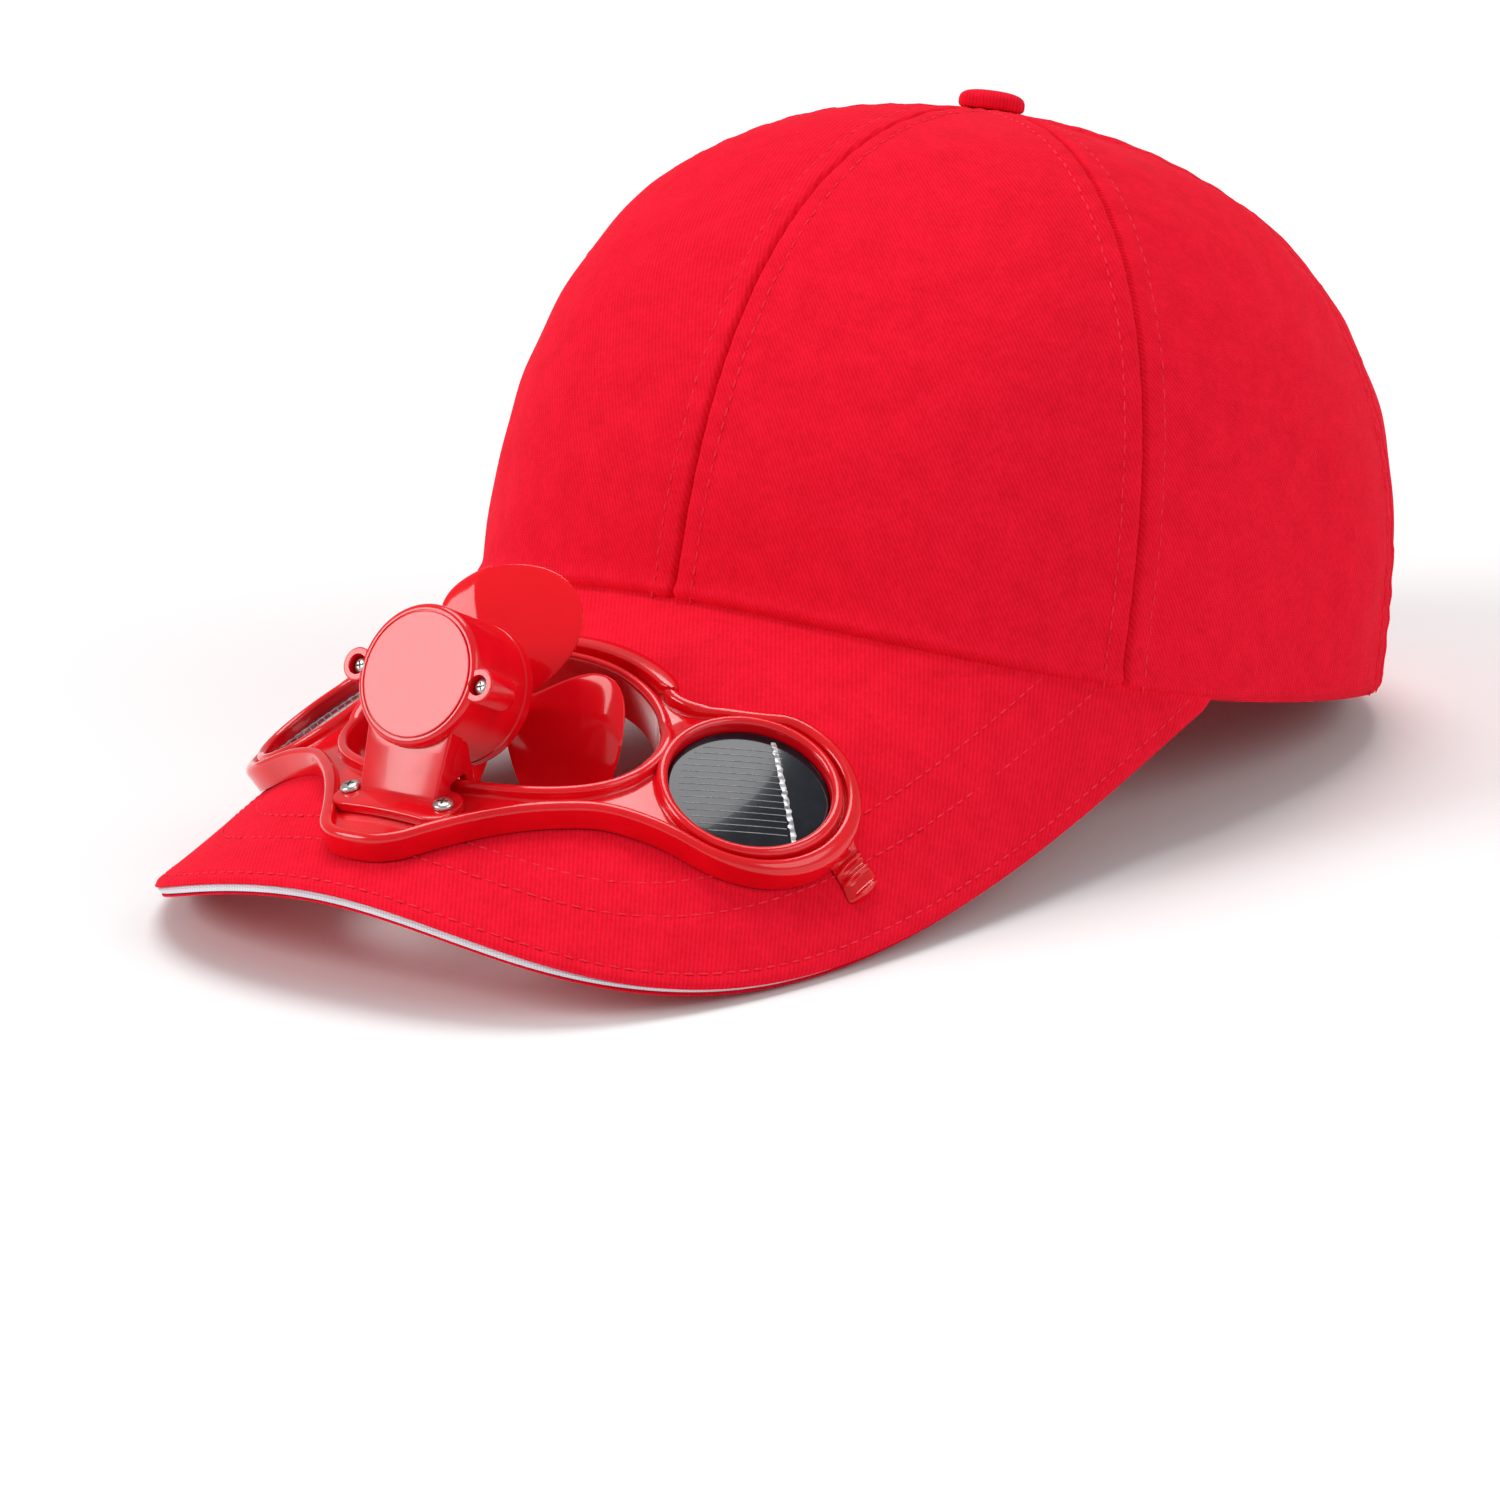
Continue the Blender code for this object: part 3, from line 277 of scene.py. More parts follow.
def seat_matrix(side):
    """World frame of a solar panel's seat: Z leaves the peak."""
    across = side * PANEL_ACROSS
    half = SOLAR_RADIUS
    x_axis = Vector(on_peak(across + half, PANEL_FORWARD, 0.0) - on_peak(across - half, PANEL_FORWARD, 0.0))
    along = Vector(on_peak(across, PANEL_FORWARD - half, 0.0) - on_peak(across, PANEL_FORWARD + half, 0.0))
    x_axis.normalize()
    z_axis = x_axis.cross(along).normalized()
    basis = Matrix((x_axis, z_axis.cross(x_axis), z_axis)).transposed().to_4x4()
    return Matrix.Translation(Vector(on_peak(across, PANEL_FORWARD, 0.0))) @ basis


def on_plate(across, forward, height):
    """The same for the moulding, which is flat where a solar panel sits."""
    across, forward, height = np.broadcast_arrays(across, forward, height)
    bent = on_peak(across, forward, height)
    side = np.where(across > 0.0, 1.0, -1.0)
    away = np.hypot(np.abs(across) - PANEL_ACROSS, forward - PANEL_FORWARD)
    flat_radius = SEAT_RADIUS + SEAT_RIM_WIDTH
    share = np.clip((WING_RADIUS - away) / (WING_RADIUS - flat_radius), 0.0, 1.0)[..., None]
    local = np.stack([across - side * PANEL_ACROSS, PANEL_FORWARD - forward, height], -1)
    flat = np.where(side[..., None] > 0.0, moved(seat_matrix(1.0), local), moved(seat_matrix(-1.0), local))
    return bent + (flat - bent) * share


# Mesh helpers

def linked(name, data):
    """A new object at the origin, in the scene."""
    piece = bpy.data.objects.new(name, data)
    bpy.context.scene.collection.objects.link(piece)
    return piece


def build(name, points, faces, material, uv=None):
    """A mesh object at the origin."""
    mesh = bpy.data.meshes.new(name)
    mesh.from_pydata(np.asarray(points, float).reshape(-1, 3).tolist(), [], [list(face) for face in faces])
    if uv is not None:
        corners = np.empty(len(mesh.loops), dtype=np.int64)
        mesh.loops.foreach_get("vertex_index", corners)
        layer = mesh.uv_layers.new(name="cloth")
        layer.data.foreach_set("uv", np.asarray(uv, np.float32).reshape(-1, 2)[corners].ravel())
    mesh.materials.append(material)
    return linked(name, mesh)


def tidy(piece, merge=1e-6, sharp=40.0):
    """Merge doubles, turn the faces outward and set the shading."""
    shape = bmesh.new()
    shape.from_mesh(piece.data)
    bmesh.ops.remove_doubles(shape, verts=shape.verts, dist=merge)
    bmesh.ops.dissolve_degenerate(shape, dist=1e-7, edges=shape.edges)
    bmesh.ops.recalc_face_normals(shape, faces=shape.faces)
    shape.to_mesh(piece.data)
    shape.free()
    return shade(piece, sharp)


def shade(piece, sharp=40.0):
    piece.data.shade_smooth()
    piece.data.set_sharp_from_angle(angle=radians(sharp))
    return piece


def quads(index):
    """Quads between the neighbours in a grid of point numbers."""
    return np.stack([index[:-1, :-1], index[:-1, 1:], index[1:, 1:], index[1:, :-1]], -1).reshape(-1, 4)


def grid_faces(rows, columns, start=0, around=False):
    """Quads between the points of a grid; around joins its last column to its first."""
    index = np.arange(rows * columns).reshape(rows, columns) + start
    return quads(np.concatenate([index, index[:, :1]], axis=1) if around else index)


def bar_faces(rows, columns):
    """Faces of a bar with a closed section of so many rows, and two flat ends."""
    index = np.arange(rows * columns).reshape(rows, columns)
    return [*quads(np.concatenate([index, index[:1]])), index[:, 0], index[:, -1]]


def shell_faces(rows, columns, around=False):
    """Faces of a closed shell between two grids, the second numbered after the first."""
    count = rows * columns
    top = grid_faces(rows, columns, 0, around)
    faces = [*top, *(top[:, ::-1] + count)]
    index = np.arange(count).reshape(rows, columns)
    if around:
        borders = [np.append(index[0], index[0, 0])[::-1], np.append(index[-1], index[-1, 0])]
    else:
        borders = [np.concatenate([index[0, ::-1], index[1:, 0], index[-1, 1:], index[-2::-1, -1]])]
    for border in borders:
        faces += [(b, a, a + count, b + count) for a, b in zip(border[:-1], border[1:])]
    return faces


def shell(name, outer, inner, material, uv, around=False):
    """Closed shell between two grids whose rows and columns agree."""
    points = np.concatenate([outer.reshape(-1, 3), inner.reshape(-1, 3)])
    coordinates = np.concatenate([uv.reshape(-1, 2)] * 2)
    faces = shell_faces(*outer.shape[:2], around)
    return tidy(build(name, points, faces, material, coordinates), 1e-7, 60.0)


def grid_normals(points):
    """Unit normals of a grid, to the side that columns then rows turn to."""
    return unit(np.cross(np.gradient(points, axis=1), np.gradient(points, axis=0)))


def joined(name, pieces):
    """Several meshes made one object."""
    shape = bmesh.new()
    for piece in pieces:
        shape.from_mesh(piece.data)
    mesh = bpy.data.meshes.new(name)
    shape.to_mesh(mesh)
    shape.free()
    mesh.materials.append(pieces[0].data.materials[0])
    for piece in pieces:
        bpy.data.objects.remove(piece, do_unlink=True)
    return linked(name, mesh)


def boolean(piece, other, operation, keep=False):
    """Cut or join with another closed mesh, and use that up unless it is to be kept."""
    modifier = piece.modifiers.new("cut", "BOOLEAN")
    modifier.operation = operation
    modifier.object = other
    modifier.solver = "EXACT"
    bake(piece)
    if not keep:
        bpy.data.objects.remove(other, do_unlink=True)
    return piece


def bake(piece):
    """Make a piece's modifiers part of its mesh."""
    bpy.context.view_layer.update()
    graph = bpy.context.evaluated_depsgraph_get()
    mesh = bpy.data.meshes.new_from_object(piece.evaluated_get(graph))
    piece.modifiers.clear()
    piece.data = mesh
    return piece


def place(piece, matrix):
    piece.data.transform(matrix)
    piece.data.update()
    return piece


def lathe(radius, height, turn):
    """Grid of a body of revolution about Z."""
    x, y = radius[:, None] * np.cos(turn), radius[:, None] * np.sin(turn)
    return np.stack([x, y, height[:, None] + 0.0 * turn], -1)


def turned(name, profile, segments, material):
    """Closed body of revolution about Z from (radius, height) points that start and end on the axis."""
    turn = np.linspace(0.0, 2.0 * pi, segments, endpoint=False)
    points = lathe(*np.array(profile).T, turn)
    return tidy(build(name, points, grid_faces(len(profile), segments, 0, True), material), 1e-7, 35.0)


def arc(centre, radius, first, last, steps):
    """Points of an arc, angles in degrees."""
    turn = np.radians(np.linspace(first, last, steps + 1))
    return [(centre[0] + radius * c, centre[1] + radius * s) for c, s in zip(np.cos(turn), np.sin(turn))]


def corner(centre, size, first, count, lower=False):
    """Points of a quarter round, from its crest to its side, or lower, from its side to its foot."""
    (x, y), (a, b) = centre, size
    turns = np.linspace(first, pi / 2.0, count)
    if lower:
        return [(x + a * cos(t), y - b * sin(t)) for t in turns]
    return [(x + a * sin(t), y + b * cos(t)) for t in turns]


def in_mm(points):
    return [(a * MM, b * MM) for a, b in points]


# Outlines in the flat pattern, as (across, forward) tables

def even(outline, spacing, closed=True):
    """An outline resampled at even steps."""
    path = np.array(outline, float)
    if closed:
        path = np.concatenate([path, path[:1]])
    length = np.concatenate([[0.0], np.cumsum(np.linalg.norm(np.diff(path, axis=0), axis=1))])
    count = max(int(round(length[-1] / spacing)), 3)
    at = np.linspace(0.0, length[-1], count + 1)
    if closed:
        at = at[:-1]
    return np.stack([np.interp(at, length, path[:, axis]) for axis in range(path.shape[1])], -1)


def eased(outline, passes):
    """A closed outline with its small corners relaxed."""
    path = np.array(outline, float)
    for _ in range(passes):
        path = 0.5 * path + 0.25 * (np.roll(path, 1, axis=0) + np.roll(path, -1, axis=0))
    return path


def inward(outline):
    """Unit normals of a closed outline, towards its inside."""
    path = np.asarray(outline, float)
    tangent = unit(np.roll(path, -1, axis=0) - np.roll(path, 1, axis=0))
    area = np.sum(path[:, 0] * np.roll(path[:, 1], -1) - path[:, 1] * np.roll(path[:, 0], -1))
    return np.stack([-tangent[:, 1], tangent[:, 0]], -1) * np.sign(area)


def left_of(path):
    """Unit normals of an open path, to its left."""
    tangent = unit(np.gradient(path, axis=0))
    return np.stack([-tangent[:, 1], tangent[:, 0]], -1)


def out_of(path, centre):
    """Unit normals of an open path, on the side away from a centre."""
    ways = left_of(path)
    return ways * np.sign(np.sum(ways * (path - np.array(centre)), axis=1, keepdims=True))


def oval(half_width, half_depth, centre=(0.0, OPENING_FORWARD)):
    turn = np.linspace(0.0, 2.0 * pi, 721)[:-1]
    points = [centre[0] + half_width * np.cos(turn), centre[1] + half_depth * np.sin(turn)]
    return even(np.stack(points, -1), OVAL_STEP)


def inside(outline, points):
    """Which points lie inside a closed outline."""
    path = np.asarray(outline)
    after = np.roll(path, -1, axis=0)
    x, y = points[:, 0, None], points[:, 1, None]
    crosses = (path[:, 1] > y) != (after[:, 1] > y)
    rise = np.where(np.abs(after[:, 1] - path[:, 1]) < 1e-15, 1e-15, after[:, 1] - path[:, 1])
    at = path[:, 0] + (y - path[:, 1]) / rise * (after[:, 0] - path[:, 0])
    return (np.sum(crosses & (x < at), axis=1) % 2) == 1


def away_from(path, points):
    """Distance of points from a closely sampled path."""
    result = np.empty(len(points))
    for start in range(0, len(points), 4000):
        part = points[start:start + 4000]
        result[start:start + 4000] = np.sqrt(((part[:, None] - path[None]) ** 2).sum(-1)).min(1)
    return result


def filled(loops, cell):
    """Points and triangles of the flat region inside the first loop and outside the others."""
    outer = loops[0]
    low, high = outer.min(0), outer.max(0)
    x, y = np.meshgrid(np.arange(low[0], high[0], cell), np.arange(low[1], high[1], cell))
    x = x + (np.arange(x.shape[0]) % 2)[:, None] * cell / 2.0
    inner = np.stack([x.ravel(), y.ravel()], -1)
    keep = inside(outer, inner) & (away_from(np.concatenate(loops), inner) > cell * 0.6)
    for hole in loops[1:]:
        keep &= ~inside(hole, inner)
    points = np.concatenate([*loops, inner[keep]])
    edges, start = [], 0
    for loop in loops:
        count = len(loop)
        edges += [(start + k, start + (k + 1) % count) for k in range(count)]
        start += count
    made = delaunay_2d_cdt([Vector(point) for point in points], edges, [], 1, 1e-9)
    places = np.array([tuple(point) for point in made[0]])
    faces = np.array([list(face) for face in made[2]])
    middle = places[faces].mean(1)
    keep = inside(outer, middle)
    for hole in loops[1:]:
        keep &= ~inside(hole, middle)
    return places, faces[keep]


def at_height(path, height):
    """A flat path with a height as its third column."""
    return np.concatenate([path, np.full((len(path), 1), height)], axis=1)


def moulded(outline, bottom, top, over=0.0, under=0.0, holes=(), cell=2.0 * MM):
    """Flat-pattern slab as (points, faces), its upper edges rounded by over and its lower by under."""
    turns = np.linspace(0, pi / 2, 5)
    heights = [(0.0, bottom)]
    if under:
        heights = [(under - under * sin(t), bottom + under - under * cos(t)) for t in turns]
    if over:
        heights += [(over - over * cos(t), top - over + over * sin(t)) for t in turns]
    else:
        heights.append((0.0, top))
    points, faces, bottoms, tops = [], [], [], []
    for number, loop in enumerate([outline, *holes]):
        normal = inward(loop) * (1.0 if number == 0 else -1.0)
        rings = [at_height(loop + normal * d, z) for d, z in heights]
        faces += [*grid_faces(len(rings), len(loop), len(points), True)]
        points += [*np.concatenate(rings)]
        bottoms.append(rings[0][:, :2])
        tops.append(rings[-1][:, :2])
    for loops, height in ((bottoms, bottom), (tops, top)):
        places, triangles = filled(loops, cell)
        faces += [*(triangles + len(points))]
        points += [*at_height(places, height)]
    return np.array(points), faces


def swept(path, normal, section):
    """Ring with a closed section of (inset, height) points, as (points, faces)."""
    points = np.concatenate([at_height(path + normal * d, z) for d, z in section])
    index = np.arange(len(points)).reshape(len(section), len(path))
    return points, quads(np.pad(index, ((0, 1), (0, 1)), mode="wrap"))


def laid(name, flat, lay):
    """A moulded flat-pattern mesh laid on the peak or the plate."""
    points, faces = flat
    return tidy(build(name, lay(points[:, 0], points[:, 1], points[:, 2]), faces, RED_GLOSS))


# Finishes

class Signal:
    """A socket in a finish; arithmetic on it adds Math nodes."""

    def __init__(self, finish, socket):
        self.finish = finish
        self.socket = socket

    def math(self, operation, *values):
        return self.finish.add("ShaderNodeMath", dict(enumerate((self, *values))), operation=operation)

    def __add__(self, other):
        return self.math("ADD", other)

    def __mul__(self, other):
        return self.math("MULTIPLY", other)

    def sine(self):
        return self.math("SINE")

    def ripple(self):
        """Its sine, brought between 0 and 1."""
        return (self.sine() + 1.0) * 0.5

    def above(self, low, high):
        """0 below low, 1 above high, smooth between."""
        values = {0: self, 1: low, 2: high, 3: 0.0, 4: 1.0}
        return self.finish.add("ShaderNodeMapRange", values, interpolation_type="SMOOTHSTEP")


class Finish:
    """A material with one Principled shader, and nodes added by add."""

    def __init__(self, name, cloth=False, **constants):
        self.material = bpy.data.materials.new(name)
        self.material.use_nodes = True
        self.tree = self.material.node_tree
        self.shader = self.tree.nodes["Principled BSDF"]
        for socket, value in constants.items():
            self.shader.inputs[socket.replace("_", " ")].default_value = value
        if cloth:
            self.spot = self.add("ShaderNodeUVMap", uv_map="cloth")  # the piece's flat cloth, in centimetres
        else:
            self.spot = self.add("ShaderNodeTexCoord", output=3)  # object coordinates

    def add(self, kind, values=None, output=0, **settings):
        node = self.tree.nodes.new(kind)
        for key, value in settings.items():
            setattr(node, key, value)
        for key, value in (values or {}).items():
            if isinstance(value, Signal):
                self.tree.links.new(value.socket, node.inputs[key])
            else:
                node.inputs[key].default_value = value
        return Signal(self, node.outputs[output])

    def feed(self, socket, signal):
        self.tree.links.new(signal.socket, self.shader.inputs[socket])

    def parts(self):
        """The three coordinates of the place."""
        node = self.tree.nodes.new("ShaderNodeSeparateXYZ")
        self.tree.links.new(self.spot.socket, node.inputs[0])
        return [Signal(self, socket) for socket in node.outputs]

    def noise(self, scale, detail=2.0, roughness=0.5, distortion=0.0):
        return self.add("ShaderNodeTexNoise", {
            "Vector": self.spot, "Scale": scale, "Detail": detail, "Roughness": roughness,
            "Distortion": distortion})

    def paint(self, share, first, second):
        """Base colour from the first to the second."""
        colours = {0: share, 6: (*first, 1.0), 7: (*second, 1.0)}
        self.feed("Base Color", self.add("ShaderNodeMix", colours, 2, data_type="RGBA"))

    def relief(self, height, depth, strength, under=None):
        values = {"Height": height, "Distance": depth, "Strength": strength}
        if under is not None:
            values["Normal"] = under
        return self.add("ShaderNodeBump", values)


def red_twill(name, lean, pitch_mm=0.8):
    """Brushed cotton twill: diagonal ribs, crossing threads, slubs and a soft uneven dye."""
    finish = Finish(name, True, Roughness=0.92, Specular_IOR_Level=0.06, Sheen_Weight=0.05,
                    Sheen_Roughness=0.4, Sheen_Tint=(1.0, 0.25, 0.35, 1.0))
    u, v, _ = finish.parts()
    wander = finish.noise(1.6, 3.0)
    slub = finish.noise(7.0, 4.0, 0.62)
    fuzz = finish.noise(55.0, 2.0, 0.7)
    turns = 2.0 * pi / (pitch_mm * 0.1)
    rib = (u * (cos(lean) * turns) + v * (sin(lean) * turns) + slub * 4.0).ripple()
    cross = (v * (2.0 * pi / 0.055) + wander * 3.0).ripple()
    thread = rib * 0.5 + cross * 0.14 + fuzz * 0.42
    tone = (thread * 0.42 + slub * 0.42 + wander * 0.34).above(0.22, 0.98)
    finish.paint(tone, (0.62, 0.0034, 0.0155), (0.95, 0.0100, 0.0360))
    weave = finish.relief(thread, 0.13 * MM, 0.5)
    finish.feed("Normal", finish.relief(slub, 0.30 * MM, 0.25, weave))
    return finish.material


def sewing_thread(name):
    """Twisted thread, a shade lighter than the cloth."""
    finish = Finish(name, Roughness=0.8, Specular_IOR_Level=0.12, Sheen_Weight=0.05)
    x, y, z = finish.parts()
    twist = ((x + y * 0.7 + z * 1.3) * (2.0 * pi / (0.35 * MM))).ripple()
    uneven = finish.noise(240.0)
    finish.paint((twist * 0.5 + uneven * 0.5).above(0.1, 0.9), (0.75, 0.007, 0.028), (1.00, 0.042, 0.085))
    finish.feed("Normal", finish.relief(twist, 0.05 * MM, 0.6))
    return finish.material


def white_band(name):
    """White cotton of the layer that shows at the peak's edge."""
    finish = Finish(name, Roughness=0.82, Specular_IOR_Level=0.25, Sheen_Weight=0.15)
    x, y, z = finish.parts()
    slanting = ((x * 0.8 + y * 0.5) * (2.0 * pi / (0.55 * MM))).sine()
    threads = (slanting + (z * (2.0 * pi / (0.5 * MM))).sine()) * 0.25 + 0.5
    soil = finish.noise(60.0, 4.0, 0.6)
    finish.paint((threads * 0.45 + soil * 0.55).above(0.2, 0.8), (0.60, 0.58, 0.64), (0.83, 0.82, 0.86))
    finish.feed("Normal", finish.relief(threads, 0.10 * MM, 0.5))
    return finish.material


def red_moulding(name, gloss=0.11, tint=(0.66, 0.0015, 0.0065), coat=0.22, level=0.42):
    """Injection-moulded red plastic: deep gloss, faint flow marks, fine handling wear."""
    finish = Finish(name, Specular_IOR_Level=level, Coat_Weight=coat, Coat_Roughness=0.05)
    flow = finish.noise(55.0, 3.0, 0.55, 0.6)
    grain = finish.noise(900.0)
    wear = finish.noise(210.0, 5.0, 0.7).above(0.56, 0.80)
    finish.paint(flow.above(0.25, 0.8), tint, (0.84, 0.004, 0.012))
    finish.feed("Roughness", flow * 0.07 + wear * 0.12 + gloss)
    finish.feed("Normal", finish.relief(grain, 0.02 * MM, 0.12, finish.relief(flow, 0.25 * MM, 0.10)))
    return finish.material


def solar_cell(name):
    """Black-blue silicon under clear resin."""
    finish = Finish(name, Specular_IOR_Level=0.3, Coat_Weight=0.25, Coat_Roughness=0.02, Coat_IOR=1.45)
    grain = finish.noise(320.0, 4.0, 0.65)
    cloud = finish.noise(45.0)
    tone = (grain * 0.6 + cloud * 0.4).above(0.3, 0.8)
    finish.paint(tone, (0.004, 0.005, 0.008), (0.014, 0.018, 0.030))
    finish.feed("Roughness", cloud * 0.06 + 0.07)
    return finish.material


def printed_silver(name, dark=0.24, bright=0.66, metal=0.85, rough=0.25):
    """Silver paste of the soldered strip, and the greyer print of the fine lines."""
    finish = Finish(name, Metallic=metal)
    grain = finish.noise(700.0, 3.0, 0.7)
    finish.paint(grain.above(0.3, 0.75), (dark, dark, dark * 1.1), (bright, bright, bright))
    finish.feed("Roughness", grain * 0.25 + rough)
    finish.feed("Normal", finish.relief(grain, 0.12 * MM, 0.6))
    return finish.material


def screw_steel(name):
    """Nickel-plated steel with turning marks."""
    finish = Finish(name, Metallic=1.0)
    scratch = finish.noise(1500.0, 3.0, 0.7, 0.8)
    dull = finish.noise(160.0, 3.0)
    finish.paint(dull.above(0.3, 0.8), (0.46, 0.45, 0.43), (0.78, 0.77, 0.75))
    finish.feed("Roughness", scratch * 0.18 + dull * 0.15 + 0.12)
    finish.feed("Normal", finish.relief(scratch, 0.02 * MM, 0.4))
    return finish.material


def studio_floor(name):
    finish = Finish(name, Roughness=0.75, Specular_IOR_Level=0.2)
    finish.paint(finish.noise(1.4), (0.86, 0.86, 0.865), (0.90, 0.90, 0.90))
    return finish.material


CROWN_TWILL = red_twill("crown_twill", radians(32))
PEAK_TWILL = red_twill("peak_twill", radians(-34), 0.86)
PLAIN_TWILL = red_twill("trim_twill", radians(35), 0.7)
THREAD = sewing_thread("red_thread")
WHITE_COTTON = white_band("white_cotton")
RED_GLOSS = red_moulding("red_gloss_moulding")
# The fan's brighter tint is partly painted light: it stands in for light shining through the thin blades. Its
# weaker specular and coat are the plastic's own finish.
FAN_GLOSS_PAINTED_BACKLIGHT = red_moulding("fan_moulding_painted_backlight", 0.07, (0.80, 0.003, 0.010), 0.15, 0.28)
SILICON = solar_cell("black_silicon")
SILVER = printed_silver("printed_silver")
PRINT = printed_silver("printed_lines", 0.14, 0.30, 0.6, 0.42)
STEEL = screw_steel("plated_steel")
FLOOR = studio_floor("pale_floor")


# Geometry Nodes

def node_tree(name, **inputs):
    """A geometry tree with named inputs and a material; returns it, a node adder and its ending."""
    tree = bpy.data.node_groups.new(name, "GeometryNodeTree")
    for label, kind in {**inputs, "Material": "Material"}.items():
        tree.interface.new_socket(label, in_out="INPUT", socket_type="NodeSocket" + kind)
    tree.interface.new_socket("Geometry", in_out="OUTPUT", socket_type="NodeSocketGeometry")
    sources = tree.nodes.new("NodeGroupInput")

    def add(kind, values=None, **settings):
        node = tree.nodes.new(kind)
        for key, value in settings.items():
            setattr(node, key, value)
        for key, value in (values or {}).items():
            if isinstance(value, str):
                value = sources.outputs[value]
            elif isinstance(value, bpy.types.Node):
                value = value.outputs[0]
            if isinstance(value, bpy.types.NodeSocket):
                tree.links.new(value, node.inputs[key])
            else:
                node.inputs[key].default_value = value
        return node

    def close(geometry):
        real = add("GeometryNodeRealizeInstances", {0: geometry})
        dressed = add("GeometryNodeSetMaterial", {"Geometry": real, "Material": "Material"})
        output = tree.nodes.new("NodeGroupOutput")
        tree.links.new(dressed.outputs[0], output.inputs[0])

    return tree, add, close


def stitch_tree():
    """Stitches along the edges of a mesh whose points carry the way out of the cloth."""
    tree, add, close = node_tree(
        "stitch_row", Geometry="Geometry", Pitch="Float", Length="Float", Thickness="Float", Seed="Int")
    curve = add("GeometryNodeMeshToCurve", {"Mesh": "Geometry"})
    rows = add("GeometryNodeResampleCurve", {"Curve": curve, "Length": "Pitch"}, mode="LENGTH")
    capsule = add("GeometryNodeMeshUVSphere", {"Segments": 8, "Rings": 5, "Radius": 0.5})
    size = add("ShaderNodeCombineXYZ", {"X": "Length", "Y": "Thickness", "Z": "Thickness"})
    stitch = add("GeometryNodeTransform", {"Geometry": capsule, "Scale": size})
    tangent = add("GeometryNodeInputTangent")
    along = add("FunctionNodeAlignRotationToVector", {"Vector": tangent}, axis="X")
    outward = add("GeometryNodeInputNamedAttribute", data_type="FLOAT_VECTOR")
    outward.inputs["Name"].default_value = "outward"
    standing = add("FunctionNodeAlignRotationToVector", {"Rotation": along, "Vector": outward},
                   axis="Z", pivot_axis="X")
    chance = add("FunctionNodeRandomValue", {0: (0.86, 0.85, 0.85), 1: (1.08, 1.15, 1.15), "Seed": "Seed"},
                 data_type="FLOAT_VECTOR")
    close(add("GeometryNodeInstanceOnPoints", {
        "Points": rows, "Instance": stitch, "Rotation": standing, "Scale": chance}))
    return tree


def finger_tree():
    """Fine printed lines across a round cell, each as long as the circle allows."""
    tree, add, close = node_tree(
        "finger_lines", Count="Int", Spacing="Float", Width="Float", Radius="Float", Strip="Float")

    def math(operation, first, second=0.0):
        return add("ShaderNodeMath", {0: first, 1: second}, operation=operation)

    def vector(**parts):
        return add("ShaderNodeCombineXYZ", parts)

    span = math("MULTIPLY", math("SUBTRACT", "Count", 1.0), "Spacing")
    start = vector(Y=math("MULTIPLY", span, -0.5))
    line = add("GeometryNodeMeshLine", {
        "Count": "Count", "Start Location": start, "Offset": vector(Y="Spacing")})
    where = add("ShaderNodeSeparateXYZ", {0: add("GeometryNodeInputPosition")})
    height = math("POWER", where.outputs["Y"], 2.0)
    half = math("SQRT", math("SUBTRACT", math("POWER", "Radius", 2.0), height))
    middle = math("MULTIPLY", math("SUBTRACT", "Strip", half), 0.5)
    shifted = add("GeometryNodeSetPosition", {"Geometry": line, "Offset": vector(X=middle)})
    bar = add("GeometryNodeMeshCube", {"Size": vector(X=1.0, Y="Width", Z=0.00018), "Vertices X": 13})
    scale = vector(X=math("ADD", half, "Strip"), Y=1.0, Z=1.0)
    close(add("GeometryNodeInstanceOnPoints", {"Points": shifted, "Instance": bar, "Scale": scale}))
    return tree


def grown(name, tree, source, material, **inputs):
    """The mesh that a geometry tree grows on a source mesh, as a plain object."""
    piece = linked(name, source)
    modifier = piece.modifiers.new("grow", "NODES")
    modifier.node_group = tree
    inputs["Material"] = material
    for item in tree.interface.items_tree:
        if item.in_out == "INPUT" and item.name in inputs:
            modifier[item.identifier] = inputs[item.name]
    return shade(bake(piece), 70.0)


STITCHES = stitch_tree()
FINGERS = finger_tree()


def stitch_rows(name, rows, seed, pitch=2.9 * MM, length=2.2 * MM, thickness=0.38 * MM):
    """Stitches along several rows of (points, normals)."""
    points, normals, edges = [], [], []
    for places, outs in rows:
        start = len(points)
        points += places.tolist()
        normals += outs.tolist()
        edges += [(start + k, start + k + 1) for k in range(len(places) - 1)]
    mesh = bpy.data.meshes.new(name + "_rows")
    mesh.from_pydata(points, edges, [])
    layer = mesh.attributes.new("outward", "FLOAT_VECTOR", "POINT")
    layer.data.foreach_set("vector", np.array(normals, np.float32).ravel())
    return grown(name, STITCHES, mesh, THREAD, Pitch=pitch, Length=length, Thickness=thickness, Seed=seed)


def finish_piece(piece, body, slot, *nodes):
    """Tie a finished piece to its body and hide the nodes that it stands for; slot is not used."""
    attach(piece, body)
    if nodes:
        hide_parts(*nodes)
    return piece


# Crown panels

def arch_outline(count=160):
    """The arch over the back, in the crown frame's (across, height)."""
    turn = np.linspace(0.0, pi, count + 1)
    across = np.abs(np.cos(turn)) ** (2.0 / ARCH_POWER) * np.sign(np.cos(turn))
    return np.stack([ARCH_HALF_WIDTH * across, ARCH_HEIGHT * np.sin(turn) ** (2.0 / ARCH_POWER)], -1)


def arch_path(count, spacing):
    """Even points along the arch, and the ways out of it."""
    path = even(arch_outline(count), spacing, False)
    return path, out_of(path, (0.0, ARCH_HEIGHT * 0.4))


def rear_share(points):
    """1 behind the peak's roots, 0 in front of them and at the strap."""
    turn = np.abs(np.arctan2(points[..., 0], -points[..., 1]))
    return ease(radians(74), radians(84), turn) * (1.0 - ease(radians(138), radians(147), turn))


